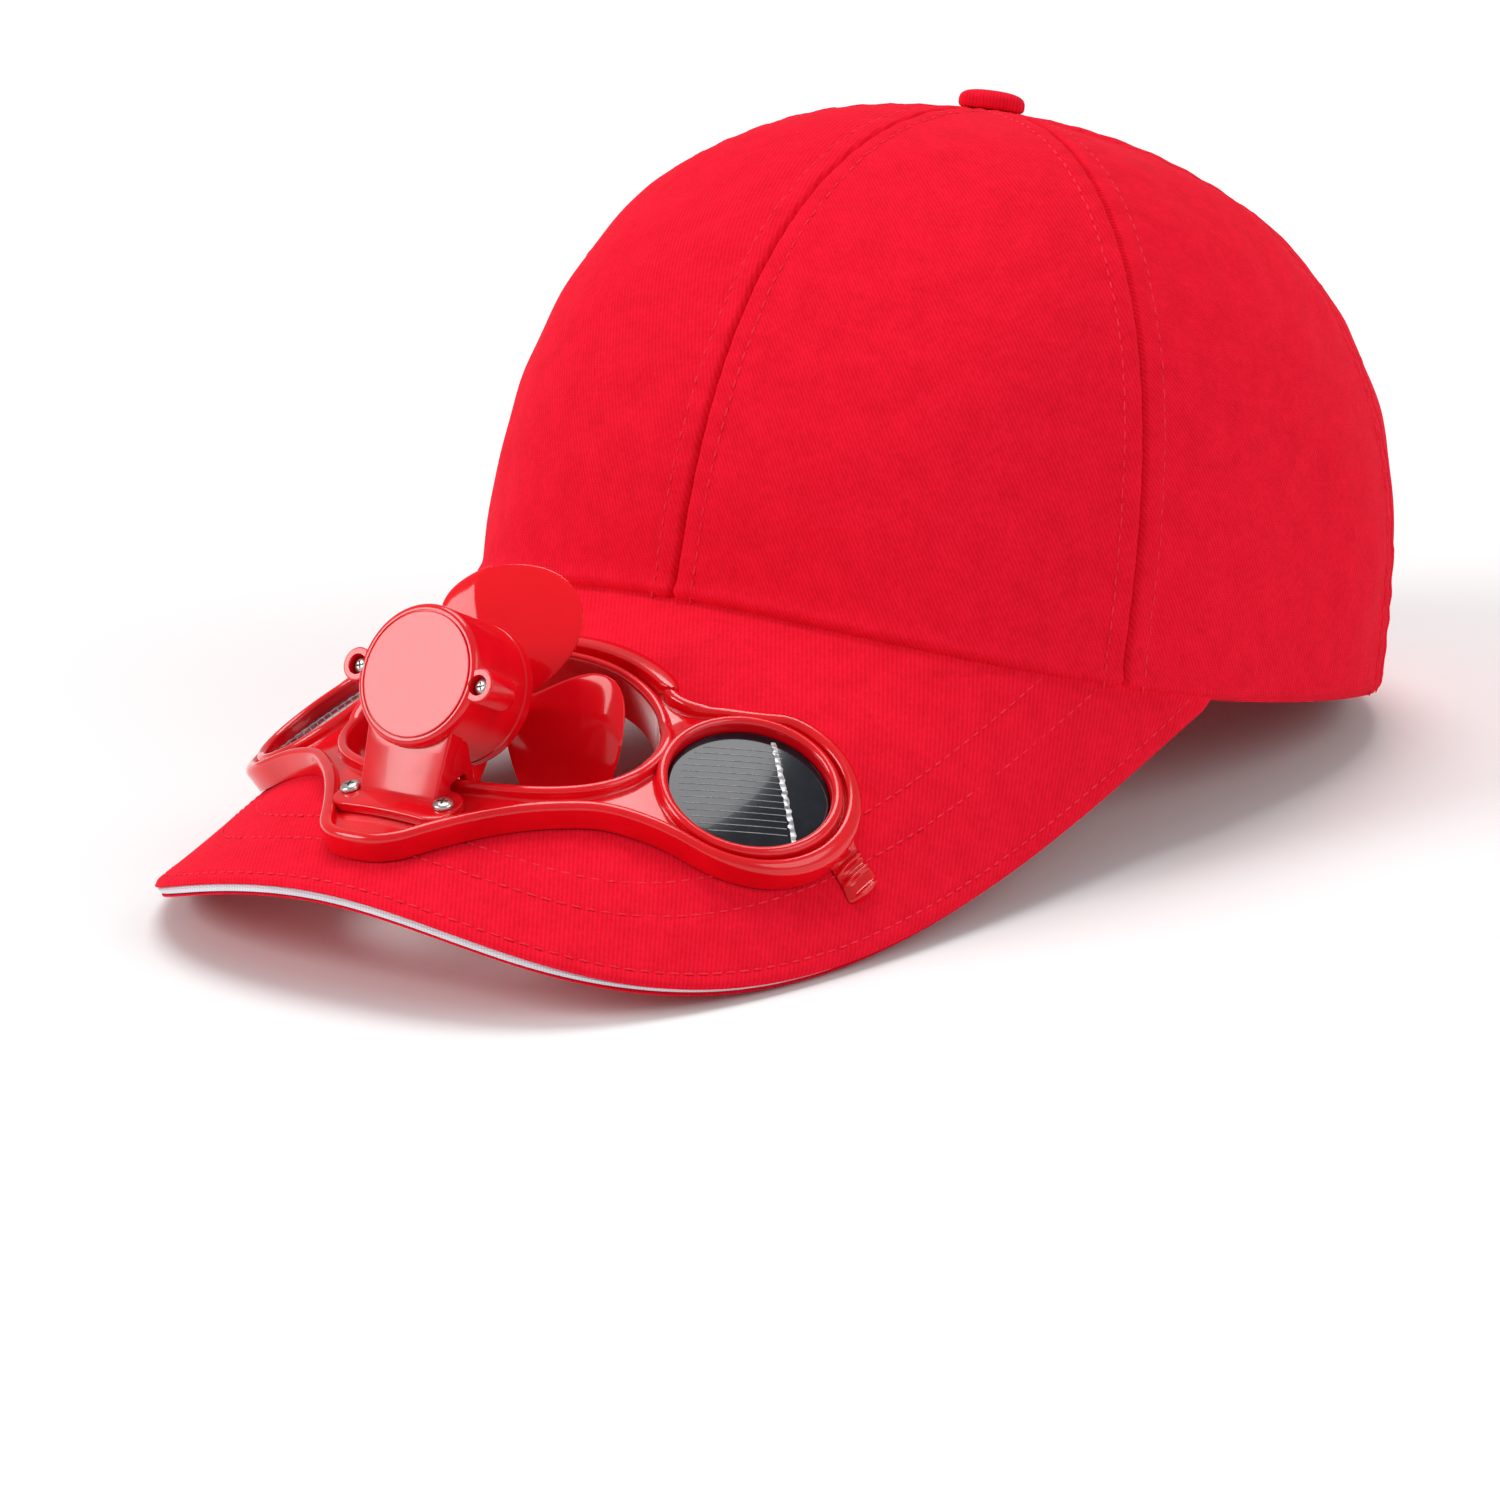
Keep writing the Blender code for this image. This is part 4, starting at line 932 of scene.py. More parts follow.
def crown_relief(points, seam, up, rear):
    """How far the cloth stands over the plain crown: rolled seams, their allowance, puckers and drape."""
    height = 0.55 * soft_noise(points, 62 * MM, 5) + 0.16 * soft_noise(points, 21 * MM, 6)
    height = height * ease(0.0, 14 * MM, up) * ease(0.0, 9 * MM, seam)
    allowance = 1.0 - ease(SEAM_STITCH - 0.6 * MM, SEAM_STITCH + 1.1 * MM, seam)
    height += 0.30 * allowance * ease(0.2 * MM, 1.5 * MM, seam)
    height -= 0.20 * bump(seam - SEAM_STITCH, 0.6 * MM)
    wander = soft_noise(points, 30 * MM, 7)
    pucker = np.sin(up * 2.0 * pi / (7.2 * MM) + wander * 2.4)
    height += 0.15 * pucker * bump(seam - SEAM_STITCH * 0.75, 4.0 * MM)
    height -= (SEAM_DIP / MM) * bump(seam, SEAM_ROLL)
    behind = rear_share(points)
    height -= (0.90 - 0.40 * behind) * bump(up, 0.8 * MM)
    height += (0.95 - 0.70 * behind) * bump(up - 2.0 * MM, 1.5 * MM)
    if rear:
        away = away_from(arch_outline(400), points.reshape(-1, 3)[:, [0, 2]]).reshape(seam.shape)
        height += 0.25 * (1.0 - ease(HEM_STITCH - 0.5 * MM, HEM_STITCH + 1.0 * MM, away))
        height -= 0.18 * bump(away - HEM_STITCH, 0.6 * MM)
        ripple = np.sin(points[..., 0] * 2.0 * pi / (8.5 * MM) + 0.8 + wander * 2.0)
        height += 0.20 * ripple * bump(away - HEM_STITCH, 3.6 * MM)
    return height * MM


def line_at(grid, normals, across, distance, from_end, rows):
    """The row of stitching that keeps one distance from a seam: points and normals."""
    order = slice(None, None, -1) if from_end else slice(None)
    found = [[[np.interp(distance, across[row][order], table[row, order, axis]) for axis in range(3)]
              for row in rows] for table in (grid, normals)]
    return np.array(found[0]), unit(np.array(found[1]))


def crown_panel(name, number):
    """One sewn panel and its two rows of stitching."""
    first, last = 2.0 * pi * number / PANELS, 2.0 * pi * (number + 1) / PANELS
    share = np.linspace(0.0, 1.0, PANEL_COLUMNS + 1)
    share = share - 0.74 / (2.0 * pi) * np.sin(2.0 * pi * share)
    angle = first + (last - first) * share
    power = crown_power(angle)
    top = np.arccos((TOP_HOLE_RADIUS / CROWN_HALF_WIDTH) ** (power / (2.0 * CROWN_SHOULDER)))
    fine = np.linspace(0.0, 1.0, 500)[:, None]
    rise = np.sin(top * fine) ** (2.0 / power) + edge_rise(angle) * np.maximum(0.0, 1.0 - fine / 0.04)
    dense = crown_surface(angle, rise)
    steps = np.linalg.norm(np.diff(dense, axis=0), axis=2)
    length = np.concatenate([np.zeros((1, len(angle))), np.cumsum(steps, axis=0)])
    level = np.linspace(0.0, 1.0, PANEL_ROWS + 1) ** 1.3
    rises = [np.interp(level * length[-1, c], length[:, c], rise[:, c]) for c in range(len(angle))]
    rises = np.stack(rises, 1)
    up = level[:, None] * length[-1][None]
    base = crown_surface(angle, rises)
    normal = grid_normals(base)
    steps = np.linalg.norm(np.diff(base, axis=1), axis=2)
    across = np.concatenate([np.zeros((len(base), 1)), np.cumsum(steps, axis=1)], axis=1)
    width = across[:, -1:]
    seam = np.minimum(across, width - across)
    curl = 1.1 * MM * rear_share(base) * bump(up, 2.1 * MM)
    outer = base + normal * (crown_relief(base, seam, up, number in REAR_PANELS) - curl)[..., None]
    inner = base - normal * (CLOTH + curl + 1.2 * MM * bump(seam, 1.6 * MM))[..., None]
    uv = np.stack([(across - width / 2.0) * 100.0, up * 100.0], -1)
    panel = shell(name, moved(CROWN, outer), moved(CROWN, inner), CROWN_TWILL, uv)
    rows = []
    outs = grid_normals(outer)
    usable = [k for k in range(len(outer)) if width[k, 0] > 2.3 * SEAM_STITCH and up[k, 0] > 0.8 * MM]
    for from_end in (False, True):
        distance = across if not from_end else width - across
        places, normals = line_at(outer, outs, distance, SEAM_STITCH, from_end, usable)
        if number in REAR_PANELS and from_end == (number == REAR_PANELS[0]):
            clear = away_from(arch_outline(400), places[:, [0, 2]]) > HEM_STITCH
            keep = (places[:, 2] > ARCH_HEIGHT) & clear
            places, normals = places[keep], normals[keep]
        ways = moved_way(CROWN, normals)
        rows.append((moved(CROWN, places) + ways * THREAD_LIFT, ways))
    return panel, rows


PANEL_NAMES = (
    "crown_panel_front_left", "crown_panel_side_left", "crown_panel_rear_left",
    "crown_panel_rear_right", "crown_panel_side_right", "crown_panel_front_right",
)


def arch_cutter():
    """Prism that opens the arch in the two rear panels."""
    foot = [[-ARCH_HALF_WIDTH, -ARCH_HEIGHT], [ARCH_HALF_WIDTH, -ARCH_HEIGHT]]
    outline = np.concatenate([arch_outline(), foot])
    count = len(outline)
    near = np.stack([outline[:, 0], np.full(count, CROWN_HALF_LENGTH / 3.0), outline[:, 1]], -1)
    far = near + np.array([0.0, CROWN_HALF_LENGTH * 1.5, 0.0])
    faces = [(k, (k + 1) % count, (k + 1) % count + count, k + count) for k in range(count)]
    faces += [tuple(range(count)), tuple(range(2 * count - 1, count - 1, -1))]
    return tidy(build("arch_cutter", moved(CROWN, np.concatenate([near, far])), faces, CROWN_TWILL))


def crown_inward(angle, rise):
    step = 0.001
    along = crown_surface(angle + step, rise) - crown_surface(angle - step, rise)
    upward = crown_surface(angle, rise + step) - crown_surface(angle, np.maximum(rise - step, 0.0))
    return -unit(np.cross(along, upward))


def on_back(across, height):
    """Crown angle of a point on the back wall, from its place across and its height."""
    rise = np.asarray(height, float) / CROWN_HEIGHT
    angle = np.full(np.shape(rise), pi) - np.arcsin(np.clip(np.asarray(across) / CROWN_HALF_WIDTH, -0.9, 0.9))
    for _ in range(12):
        reached = crown_surface(angle, rise)[..., 0]
        angle = angle + (reached - across) / CROWN_HALF_WIDTH
    return angle, rise


def over_back(flat, proud):
    """Places so far over the back wall, and the ways out of it there."""
    angle, rise = on_back(flat[:, 0], flat[:, 1])
    way = crown_inward(angle, rise)
    return crown_surface(angle, rise) - way * proud, -way


def arch_hem():
    """Turned hem round the arch."""
    path, outward = arch_path(200, 1.1 * MM)
    low = path[:, 1] > 1.0 * MM
    path, outward = path[low], outward[low]
    fold = [(0.75 - 1.15 * sin(t), -0.60 + 1.15 * cos(t)) for t in np.linspace(0.0, pi, 11)]
    section = [(3.2, 0.55), *fold, (3.2, -1.75)]
    grid = [over_back(path + outward * d * MM, z * MM)[0] for d, z in section]
    length = np.concatenate([[0.0], np.cumsum(np.linalg.norm(np.diff(path, axis=0), axis=1))])
    around = np.sum(section, axis=1)
    uv = np.stack(np.broadcast_arrays(length[None] * 100.0, around[:, None] * 0.1), -1)
    faces = bar_faces(len(section), len(path))
    return tidy(build("arch_hem", moved(CROWN, grid), faces, PLAIN_TWILL, uv), 1e-7, 70.0)


def hem_row():
    """The row of stitching round the arch."""
    path, outward = arch_path(400, 0.8 * MM)
    flat = (path + outward * HEM_STITCH)[path[:, 1] > 2.0 * MM]
    points, outs = over_back(flat, 0.20 * MM)
    return moved(CROWN, points), moved_way(CROWN, outs)


cutter = arch_cutter()
stitching = []
for number, panel_name in enumerate(PANEL_NAMES):
    panel, rows = crown_panel(panel_name + "_cloth", number)
    stitching += rows
    if number in REAR_PANELS:
        boolean(panel, cutter, "DIFFERENCE", True)
        shade(panel, 60.0)
    finish_piece(panel, "cap", "red_cloth", panel_name)
bpy.data.objects.remove(cutter, do_unlink=True)
finish_piece(arch_hem(), "cap", "red_cloth")
stitching.append(hem_row())
finish_piece(stitch_rows("crown_stitches", stitching, 3), "cap", "red_cloth")


# Strap and button

def closure_strap():
    """Strap behind the rear panels, two layers thick with rounded, stitched edges."""
    columns, lines = 150, 34
    reach = np.arcsin(ARCH_HALF_WIDTH / CROWN_HALF_LENGTH) + STRAP_TUCK
    angle = pi - reach + 2.0 * reach * np.linspace(0.0, 1.0, columns)
    share = np.linspace(0.0, 1.0, lines)
    share = share - 0.6 / (2.0 * pi) * np.sin(2.0 * pi * share)
    low = np.maximum(edge_rise(angle), 0.0) + STRAP_LIFT / CROWN_HEIGHT
    rise = low[None] + STRAP_HEIGHT / CROWN_HEIGHT * share[:, None]
    angles = np.broadcast_to(angle, rise.shape)
    way = crown_inward(angles, rise)
    surface = crown_surface(angles, rise) + way * (CLOTH + STRAP_CLEARANCE)
    edge = np.minimum(share, 1.0 - share)[:, None] * STRAP_HEIGHT
    length = np.broadcast_to((angle - pi)[None] * CROWN_HALF_LENGTH, rise.shape)
    height = -0.55 * bump(edge, 0.7 * MM) - 0.16 * bump(edge - STRAP_STITCH, 0.5 * MM)
    height = height + 0.10 * np.sin(length * 2 * pi / (6.5 * MM)) * bump(edge - 2.0 * MM, 2.6 * MM)
    height = height + 0.18 * soft_noise(surface, 24 * MM, 11)
    outer = surface - way * height[..., None] * MM
    inner = surface + way * (STRAP_THICKNESS + (-0.55 * bump(edge, 0.7 * MM)[..., None]) * MM)
    uv = np.stack(np.broadcast_arrays(length * 100.0, share[:, None] * STRAP_HEIGHT * 100.0), -1)
    strap = shell("closure_strap_cloth", moved(CROWN, outer), moved(CROWN, inner), PLAIN_TWILL, uv)
    rows = []
    for part in (share, 1.0 - share):
        line = np.argmin(np.abs(part * STRAP_HEIGHT - STRAP_STITCH))
        rows.append((moved(CROWN, outer[line] - way[line] * THREAD_LIFT), moved_way(CROWN, -way[line])))
    return strap, rows


strap, strap_rows = closure_strap()
finish_piece(strap, "cap", "red_cloth", "closure_strap")
finish_piece(stitch_rows("strap_stitches", strap_rows, 5, 2.7 * MM, 2.0 * MM), "cap", "red_cloth")


def top_button():
    """Cloth-covered button, its cloth gathered under the rim."""
    rings, segments = 30, 128
    turn = np.linspace(0.0, 2.0 * pi, segments, endpoint=False)
    bend = np.radians(np.linspace(0.5, 90.0, rings))
    radius = BUTTON_RADIUS * np.sin(bend) ** 0.72
    height = BUTTON_HEIGHT * (0.26 + 0.74 * np.cos(bend) ** 0.62)
    radius = np.concatenate([[0.0], radius, BUTTON_RADIUS * np.array([1.0, 0.97, 0.90, 0.0])])
    height = np.concatenate([[height[0]], height, [0.8 * MM, 0.3 * MM, 0.0, 0.0]])
    gather = ease(0.45, 1.0, radius / BUTTON_RADIUS)[:, None] * np.sin(turn * 22 + 1.3 * np.sin(turn * 3))
    points = lathe(radius, height, turn) * (1.0 + 0.006 * gather[..., None])
    seat = crown_surface(0.0, 1.0) + np.array([0.0, 0.0, GAP])
    faces = grid_faces(len(radius), segments, 0, True)
    uv = points[..., :2] * 100.0
    return tidy(build("top_button_cloth", moved(CROWN, points + seat), faces, PLAIN_TWILL, uv), 1e-7, 60.0)


finish_piece(top_button(), "cap", "red_cloth", "top_button")


# Peak

def peak_outline(proud, seam_shift=SEAM_GAP):
    """Closed outline of the peak's flat pattern, even along its edge, and which points are on the seam."""
    seam = np.stack([SEAM_ACROSS, SEAM_FORWARD], -1)
    seam = even(seam + left_of(seam) * seam_shift, 1.0 * MM, False)
    turn = np.linspace(-pi / 2.0, pi / 2.0, 1400)[1:-1]
    across = ROOT_ACROSS * np.abs(np.sin(turn)) ** (2.0 / PEAK_POWER) * np.sign(np.sin(turn))
    edge = np.stack([across, peak_edge_forward(across)], -1)
    edge = even(np.concatenate([seam[:1], edge, seam[-1:]]), 1.0 * MM, False)
    outline = np.concatenate([seam, edge[::-1][1:-1]])
    on_seam = np.arange(len(outline)) < len(seam)
    side = ease(40.0 * MM, 72.0 * MM, np.abs(outline[:, 0]))
    outline = outline - inward(outline) * np.where(on_seam, 0.0, proud * (1.0 - 2.2 * side))[:, None]
    root = 1.0 - ease(ROOT_FORWARD + 4.0 * MM, ROOT_FORWARD + 18.0 * MM, outline[:, 1])
    outline[:, 0] *= 1.0 - root * max(seam_shift, 0.0) * 1.3 / ROOT_ACROSS
    return outline, on_seam


def peak_layer(name, top, bottom, proud, seam_shift, rings, material, round_top, round_bottom, relief=None):
    """One layer of the peak: rings of points from the carrier's hole to the layer's edge."""
    outline, on_seam = peak_outline(proud, seam_shift)
    centre = np.array([0.0, OPENING_FORWARD])
    way = outline - centre
    angle = np.unwrap(np.arctan2(way[:, 1], way[:, 0]))
    half_width = OPENING_HALF_WIDTH + COLLAR_WALL + GAP
    half_depth = OPENING_HALF_DEPTH + COLLAR_WALL + GAP
    hole = centre + np.stack([half_width * np.cos(angle), half_depth * np.sin(angle)], -1)
    share = 1.0 - np.linspace(1.0, 0.0, rings) ** 1.9
    flat = hole[None] + (outline - hole)[None] * share[:, None, None]
    away, from_seam = (
        away_from(even(outline[part], 0.5 * MM, False), flat.reshape(-1, 2)).reshape(flat.shape[:2])
        for part in (~on_seam, on_seam))
    raised = relief(flat, away, from_seam) if relief else 0.0
    upper = on_peak(flat[..., 0], flat[..., 1], top + raised - round_top * bump(away, 0.65 * MM))
    lower = on_peak(flat[..., 0], flat[..., 1], bottom + round_bottom * bump(away, 0.65 * MM))
    return shell(name, upper, lower, material, flat * 100.0, True)


def peak_relief(flat, away, from_seam):
    """Drape and stitch lines of the peak's upper cloth."""
    points = np.concatenate([flat, np.zeros((*flat.shape[:2], 1))], -1)
    height = 0.14 * soft_noise(points, 40 * MM, 21) * ease(0.0, 6 * MM, away)
    for distance in PEAK_ROWS_FROM_EDGE:
        height -= 0.22 * bump(away - distance, 0.55 * MM) * ease(0.5 * MM, 3.0 * MM, from_seam)
        ripple = np.sin(flat[..., 0] * 2 * pi / (6.1 * MM) + 1.7 * soft_noise(points, 22 * MM, 23))
        height += 0.05 * ripple * bump(away - distance, 2.2 * MM)
    height += 0.12 * bump(from_seam, 1.5 * MM)
    return height * MM


def peak_rows():
    """Rows of stitching at fixed distances from the peak's edge."""
    outline, on_seam = peak_outline(0.0)
    edge_path = even(outline[~on_seam], 0.4 * MM, False)
    outward = out_of(edge_path, (0.0, 30.0 * MM))
    rows = []
    for distance in PEAK_ROWS_FROM_EDGE:
        path = edge_path - outward * distance
        keep = inside(outline, path) & (away_from(edge_path, path) > distance * 0.985)
        keep &= path[:, 1] > np.interp(path[:, 0], SEAM_ACROSS, SEAM_FORWARD) + 1.2 * MM
        path = even(path[keep], 0.8 * MM, False)
        points = on_peak(path[:, 0], path[:, 1], -0.10 * MM)
        outs = unit(on_peak(path[:, 0], path[:, 1], 1.0 * MM) - points)
        rows.append((points, outs))
    return rows


upper = peak_layer(
    "peak_upper_cloth", 0.0, -0.85 * MM, 0.0, -1.3 * MM, 64, PEAK_TWILL, 0.55 * MM, 0.0, peak_relief)
finish_piece(upper, "cap", "red_cloth", "peak_upper")
band = peak_layer("peak_sandwich_cotton", -0.95 * MM, -2.65 * MM, 0.35 * MM, 1.6 * MM, 40,
                  WHITE_COTTON, 0.45 * MM, 0.45 * MM)
finish_piece(band, "cap", "white_cloth", "peak_sandwich")
lower = peak_layer(
    "peak_lower_cloth", -2.75 * MM, -3.40 * MM, 0.1 * MM, SEAM_GAP, 48, PEAK_TWILL, 0.0, 0.3 * MM)
finish_piece(lower, "cap", "red_cloth", "peak_lower")
peak_stitches = stitch_rows("peak_stitches", peak_rows(), 9, 2.9 * MM, 2.25 * MM, 0.37 * MM)
finish_piece(peak_stitches, "cap", "red_cloth")


# Moulding

def smooth_through(points, steps):
    """Points of a smooth open curve through the given ones."""
    ends = [points[0]] + list(points) + [points[-1]]
    result = []
    for index in range(1, len(ends) - 2):
        before, start, end, after = (np.array(ends[index + k - 1]) for k in range(4))
        for t in np.arange(steps) / steps:
            spot = start + 0.5 * t * (end - before)
            spot = spot + 0.5 * t ** 2 * (2.0 * before - 5.0 * start + 4.0 * end - after)
            spot = spot + 0.5 * t ** 3 * (3.0 * start - before - 3.0 * end + after)
            result.append(tuple(spot))
    result.append(tuple(points[-1]))
    return result


def plate_outline():
    """The moulding's outline: lobe, wing, waist and rear band on one side, mirrored to the other."""
    lobe_start = PANEL_FORWARD + WING_RADIUS
    lobe = [(a * PANEL_ACROSS, lobe_start + f * (LOBE_REACH - lobe_start)) for a, f in LOBE_EDGE]
    wing = arc((PANEL_ACROSS, PANEL_FORWARD), WING_RADIUS, 90, -105, 60)
    waist = [(a * PANEL_ACROSS, f * PANEL_FORWARD) for a, f in WAIST_EDGE]
    band_width, band_depth = OPENING_HALF_WIDTH + REAR_BAND, OPENING_HALF_DEPTH + REAR_BAND
    turns = np.radians(np.linspace(36, 0, 25))
    band = [(band_width * sin(t), OPENING_FORWARD - band_depth * cos(t)) for t in turns]
    half = smooth_through(lobe + [wing[0]], 12)[:-1] + wing[:-1] + smooth_through([wing[-1]] + waist, 12)[:-1]
    half = half + smooth_through([waist[-1], band[0]], 6)[:-1] + band
    left = [(-a, f) for a, f in reversed(half[1:-1])]
    return eased(even(half + left, 0.8 * MM), 6)


def bead(outer, inner, low, crest, inside_low, foot=0.55):
    """Section of a rounded rim between two insets (mm): outer wall, round crest, inner wall with a fillet."""
    radius = (inner - outer) / 2.0
    middle = (inner + outer) / 2.0
    section = [(outer, low), (outer, (low + crest - radius) / 2.0)]
    section += arc((middle, crest - radius), radius, 180, 0, 14)
    section += [(inner, inside_low + foot + 0.1)]
    section += arc((inner + foot, inside_low + foot), foot, 180, 270, 5)
    section += [(inner + foot, inside_low - 0.8), ((outer + inner) / 2.0, low)]
    return in_mm(section)


def lug(side):
    """Ribbed tongue past a wing's end, hooked over at its tip."""
    inner, outer = PANEL_ACROSS + WING_RADIUS - 1.4 * MM, PANEL_ACROSS + WING_RADIUS + LUG_LENGTH
    across = np.linspace(inner, outer, 90)
    forward = 0.5 * np.sin(np.linspace(-pi / 2.0, pi / 2.0, 37))
    share = (across - inner) / (outer - inner)
    tip = np.sqrt(np.clip(1.0 - np.clip((share - 0.78) / 0.22, 0.0, 1.0) ** 2.2, 0.04, 1.0))
    width = LUG_WIDTH * (1.0 + 0.12 * ease(0.4, 0.85, share)) * tip
    rib = sum(bump(share - at, 0.055) for at in (0.30, 0.54))
    root, end = 1.6 * (1.0 - ease(0.0, 0.2, share)), 0.3 * ease(0.97, 1.0, share)
    top = 1.6 + 1.0 * rib + 1.0 * bump(share - 0.91, 0.06) + root - end
    side_drop = 1.0 - np.abs(forward * 2.0) ** 5
    upper_z = 0.35 + (top[:, None] - 0.35) * side_drop[None]
    points = []
    for level in (upper_z, np.full_like(upper_z, 0.30)):
        a = np.broadcast_to(side * across[:, None], level.shape)
        f = PANEL_FORWARD + (3.0 * share - 4.3)[:, None] * MM + forward[None] * width[:, None]
        points.append(np.stack([a, f, level * MM], -1).reshape(-1, 3))
    return np.concatenate(points), shell_faces(*upper_z.shape)


def rear_ribbon():
    """Broad flat ribbon raised behind the opening, round-ended where it meets the waists."""
    turn = np.radians(np.linspace(-41.0, 41.0, 121))
    share = np.linspace(-1.0, 1.0, 121)
    width = np.sqrt(np.clip(1.0 - np.abs(share) ** 16, 0.02, 1.0))
    near, far = 3.5 * MM, REAR_BAND + 0.25 * MM
    middle, half = (near + far) / 2.0, (far - near) / 2.0
    section = [(-1.0, 0.4), (-1.0, 5.3), (-0.93, 5.85), (-0.75, 6.1), (-0.4, 6.18), (0.0, 6.16),
               (0.4, 6.05), (0.75, 5.85), (0.93, 5.5), (1.0, 4.9), (1.0, 0.4)]
    rings = []
    for place_at, height in section:
        offset = middle + half * width * place_at
        a = (OPENING_HALF_WIDTH + offset) * np.sin(turn)
        f = OPENING_FORWARD - (OPENING_HALF_DEPTH + offset) * np.cos(turn)
        rings.append(np.stack([a, f, np.full_like(a, height * MM)], -1))
    return np.concatenate(rings), bar_faces(len(section), len(turn))


def fan_plate():
    """Goggle-shaped carrier: web, outer bead, opening rim with collar, seat rims, ribbon and lugs."""
    outline = plate_outline()
    opening = oval(OPENING_HALF_WIDTH, OPENING_HALF_DEPTH)
    sides = [(side, (side * PANEL_ACROSS, PANEL_FORWARD)) for side in (-1.0, 1.0)]
    seats = [oval(SEAT_RADIUS + 0.9 * MM, SEAT_RADIUS + 0.9 * MM, centre) for _, centre in sides]
    web = moulded(outline + inward(outline) * 0.9 * MM, 0.35 * MM, WEB_HEIGHT,
                  holes=[opening - inward(opening) * 0.9 * MM, *seats], cell=1.6 * MM)
    opening_section = in_mm([
        (0.0, 0.0), (0.0, 4.0), *arc((1.05, 4.65), 1.05, 180, 0, 12), (2.1, 4.2),
        *arc((2.8, 4.0), 0.6, 180, 270, 4), (2.8, 2.6)])
    opening_section = [(0.0, COLLAR_BOTTOM), *opening_section, (COLLAR_WALL, 2.2 * MM),
                       (COLLAR_WALL, COLLAR_BOTTOM)]
    seat_section = in_mm([
        (0.0, 0.5), (0.0, 3.6), *arc((1.05, 4.65), 1.05, 180, 0, 14), (2.1, 4.2),
        *arc((2.6, 3.9), 0.5, 180, 270, 4), (2.6, 2.8), (1.1, 2.4), (1.1, 0.5)])
    parts = [("web", web), ("outer_bead", swept(outline, inward(outline), bead(0.0, 2.6, 0.3, 5.7, 3.4))),
             ("opening_bead", swept(opening, -inward(opening), opening_section))]
    for side, centre in sides:
        ring = oval(SEAT_RADIUS, SEAT_RADIUS, centre)
        parts += [("seat_bead", swept(ring, -inward(ring), seat_section)), ("lug", lug(side))]
    parts.append(("ribbon", rear_ribbon()))
    return shade(joined("fan_plate_moulding", [laid(name, flat, on_plate) for name, flat in parts]), 38.0)


finish_piece(fan_plate(), "cap", "red_plastic", "fan_plate")


# Solar panels

def solar_panel(side, name):
    """Round cell in clear resin with printed lines and a soldered strip."""
    def level(radius):
        return SOLAR_TOP + SOLAR_CROWN * (1.0 - (radius / SOLAR_RADIUS) ** 2)

    edge = 0.22 * MM
    profile = [(SOLAR_RADIUS * t, level(SOLAR_RADIUS * t)) for t in np.linspace(0.0, 0.97, 10)]
    profile += corner((SOLAR_RADIUS - edge, SOLAR_TOP - edge), (edge, edge), 0.3, 5)
    profile += [(SOLAR_RADIUS, CELL_BOTTOM), (0.0, CELL_BOTTOM)]
    seat = seat_matrix(side)
    disc = place(turned("solar_panel_" + name + "_cell", profile, 128, SILICON), seat)
    seat = seat @ Matrix.Diagonal((side, 1.0, 1.0, 1.0)) @ Matrix.Rotation(SOLAR_TURN, 4, "Z")
    lines = grown(
        "solar_lines_" + name, FINGERS, bpy.data.meshes.new("lines"), PRINT, Count=FINGER_COUNT,
        Spacing=FINGER_SPACING, Width=FINGER_WIDTH, Radius=FINGER_RADIUS, Strip=STRIP_ACROSS)
    for point in lines.data.vertices:
        point.co.z += level(point.co.xy.length) - 0.04 * MM
    place(lines, seat)
    at = np.linspace(-1.0, 1.0, 90)
    along = at * STRIP_HALF_LENGTH
    wobble = 0.09 * MM * np.sin(at * 31.0) + 0.06 * MM * np.sin(at * 53.0 + 1.0)
    across = STRIP_ACROSS - along * tan(radians(6.0)) + wobble
    surface = level(np.hypot(across, along))
    solder = 0.16 * MM + 0.09 * MM * np.sin(at * 44.0)
    half = STRIP_HALF_WIDTH * (1.0 + 0.12 * np.sin(at * 40.0 + 2.0))
    section = ((-1.0, -1.0), (-0.9, 0.7), (0.0, 1.0), (0.9, 0.7), (1.0, -1.0))
    rings = [np.stack([across + half * x, along, surface + solder * z], -1) for x, z in section]
    faces = bar_faces(len(section), len(at))
    strip = tidy(build("solar_strip_" + name, moved(seat, rings), faces, SILVER))
    finish_piece(disc, "cap", "solar_cell", "solar_panel_" + name)
    finish_piece(lines, "cap", "solar_cell")
    finish_piece(strip, "cap", "solar_cell")


solar_panel(1.0, "left")
solar_panel(-1.0, "right")


# Motor and its bracket

def cylinder(name, radius, bottom, top, across=0.0, segments=64):
    profile = [(0.0, top), (radius, top), (radius, top - 1e-5), (radius, bottom), (0.0, bottom)]
    return place(turned(name, profile, segments, RED_GLOSS), Matrix.Translation((across, 0.0, 0.0)))


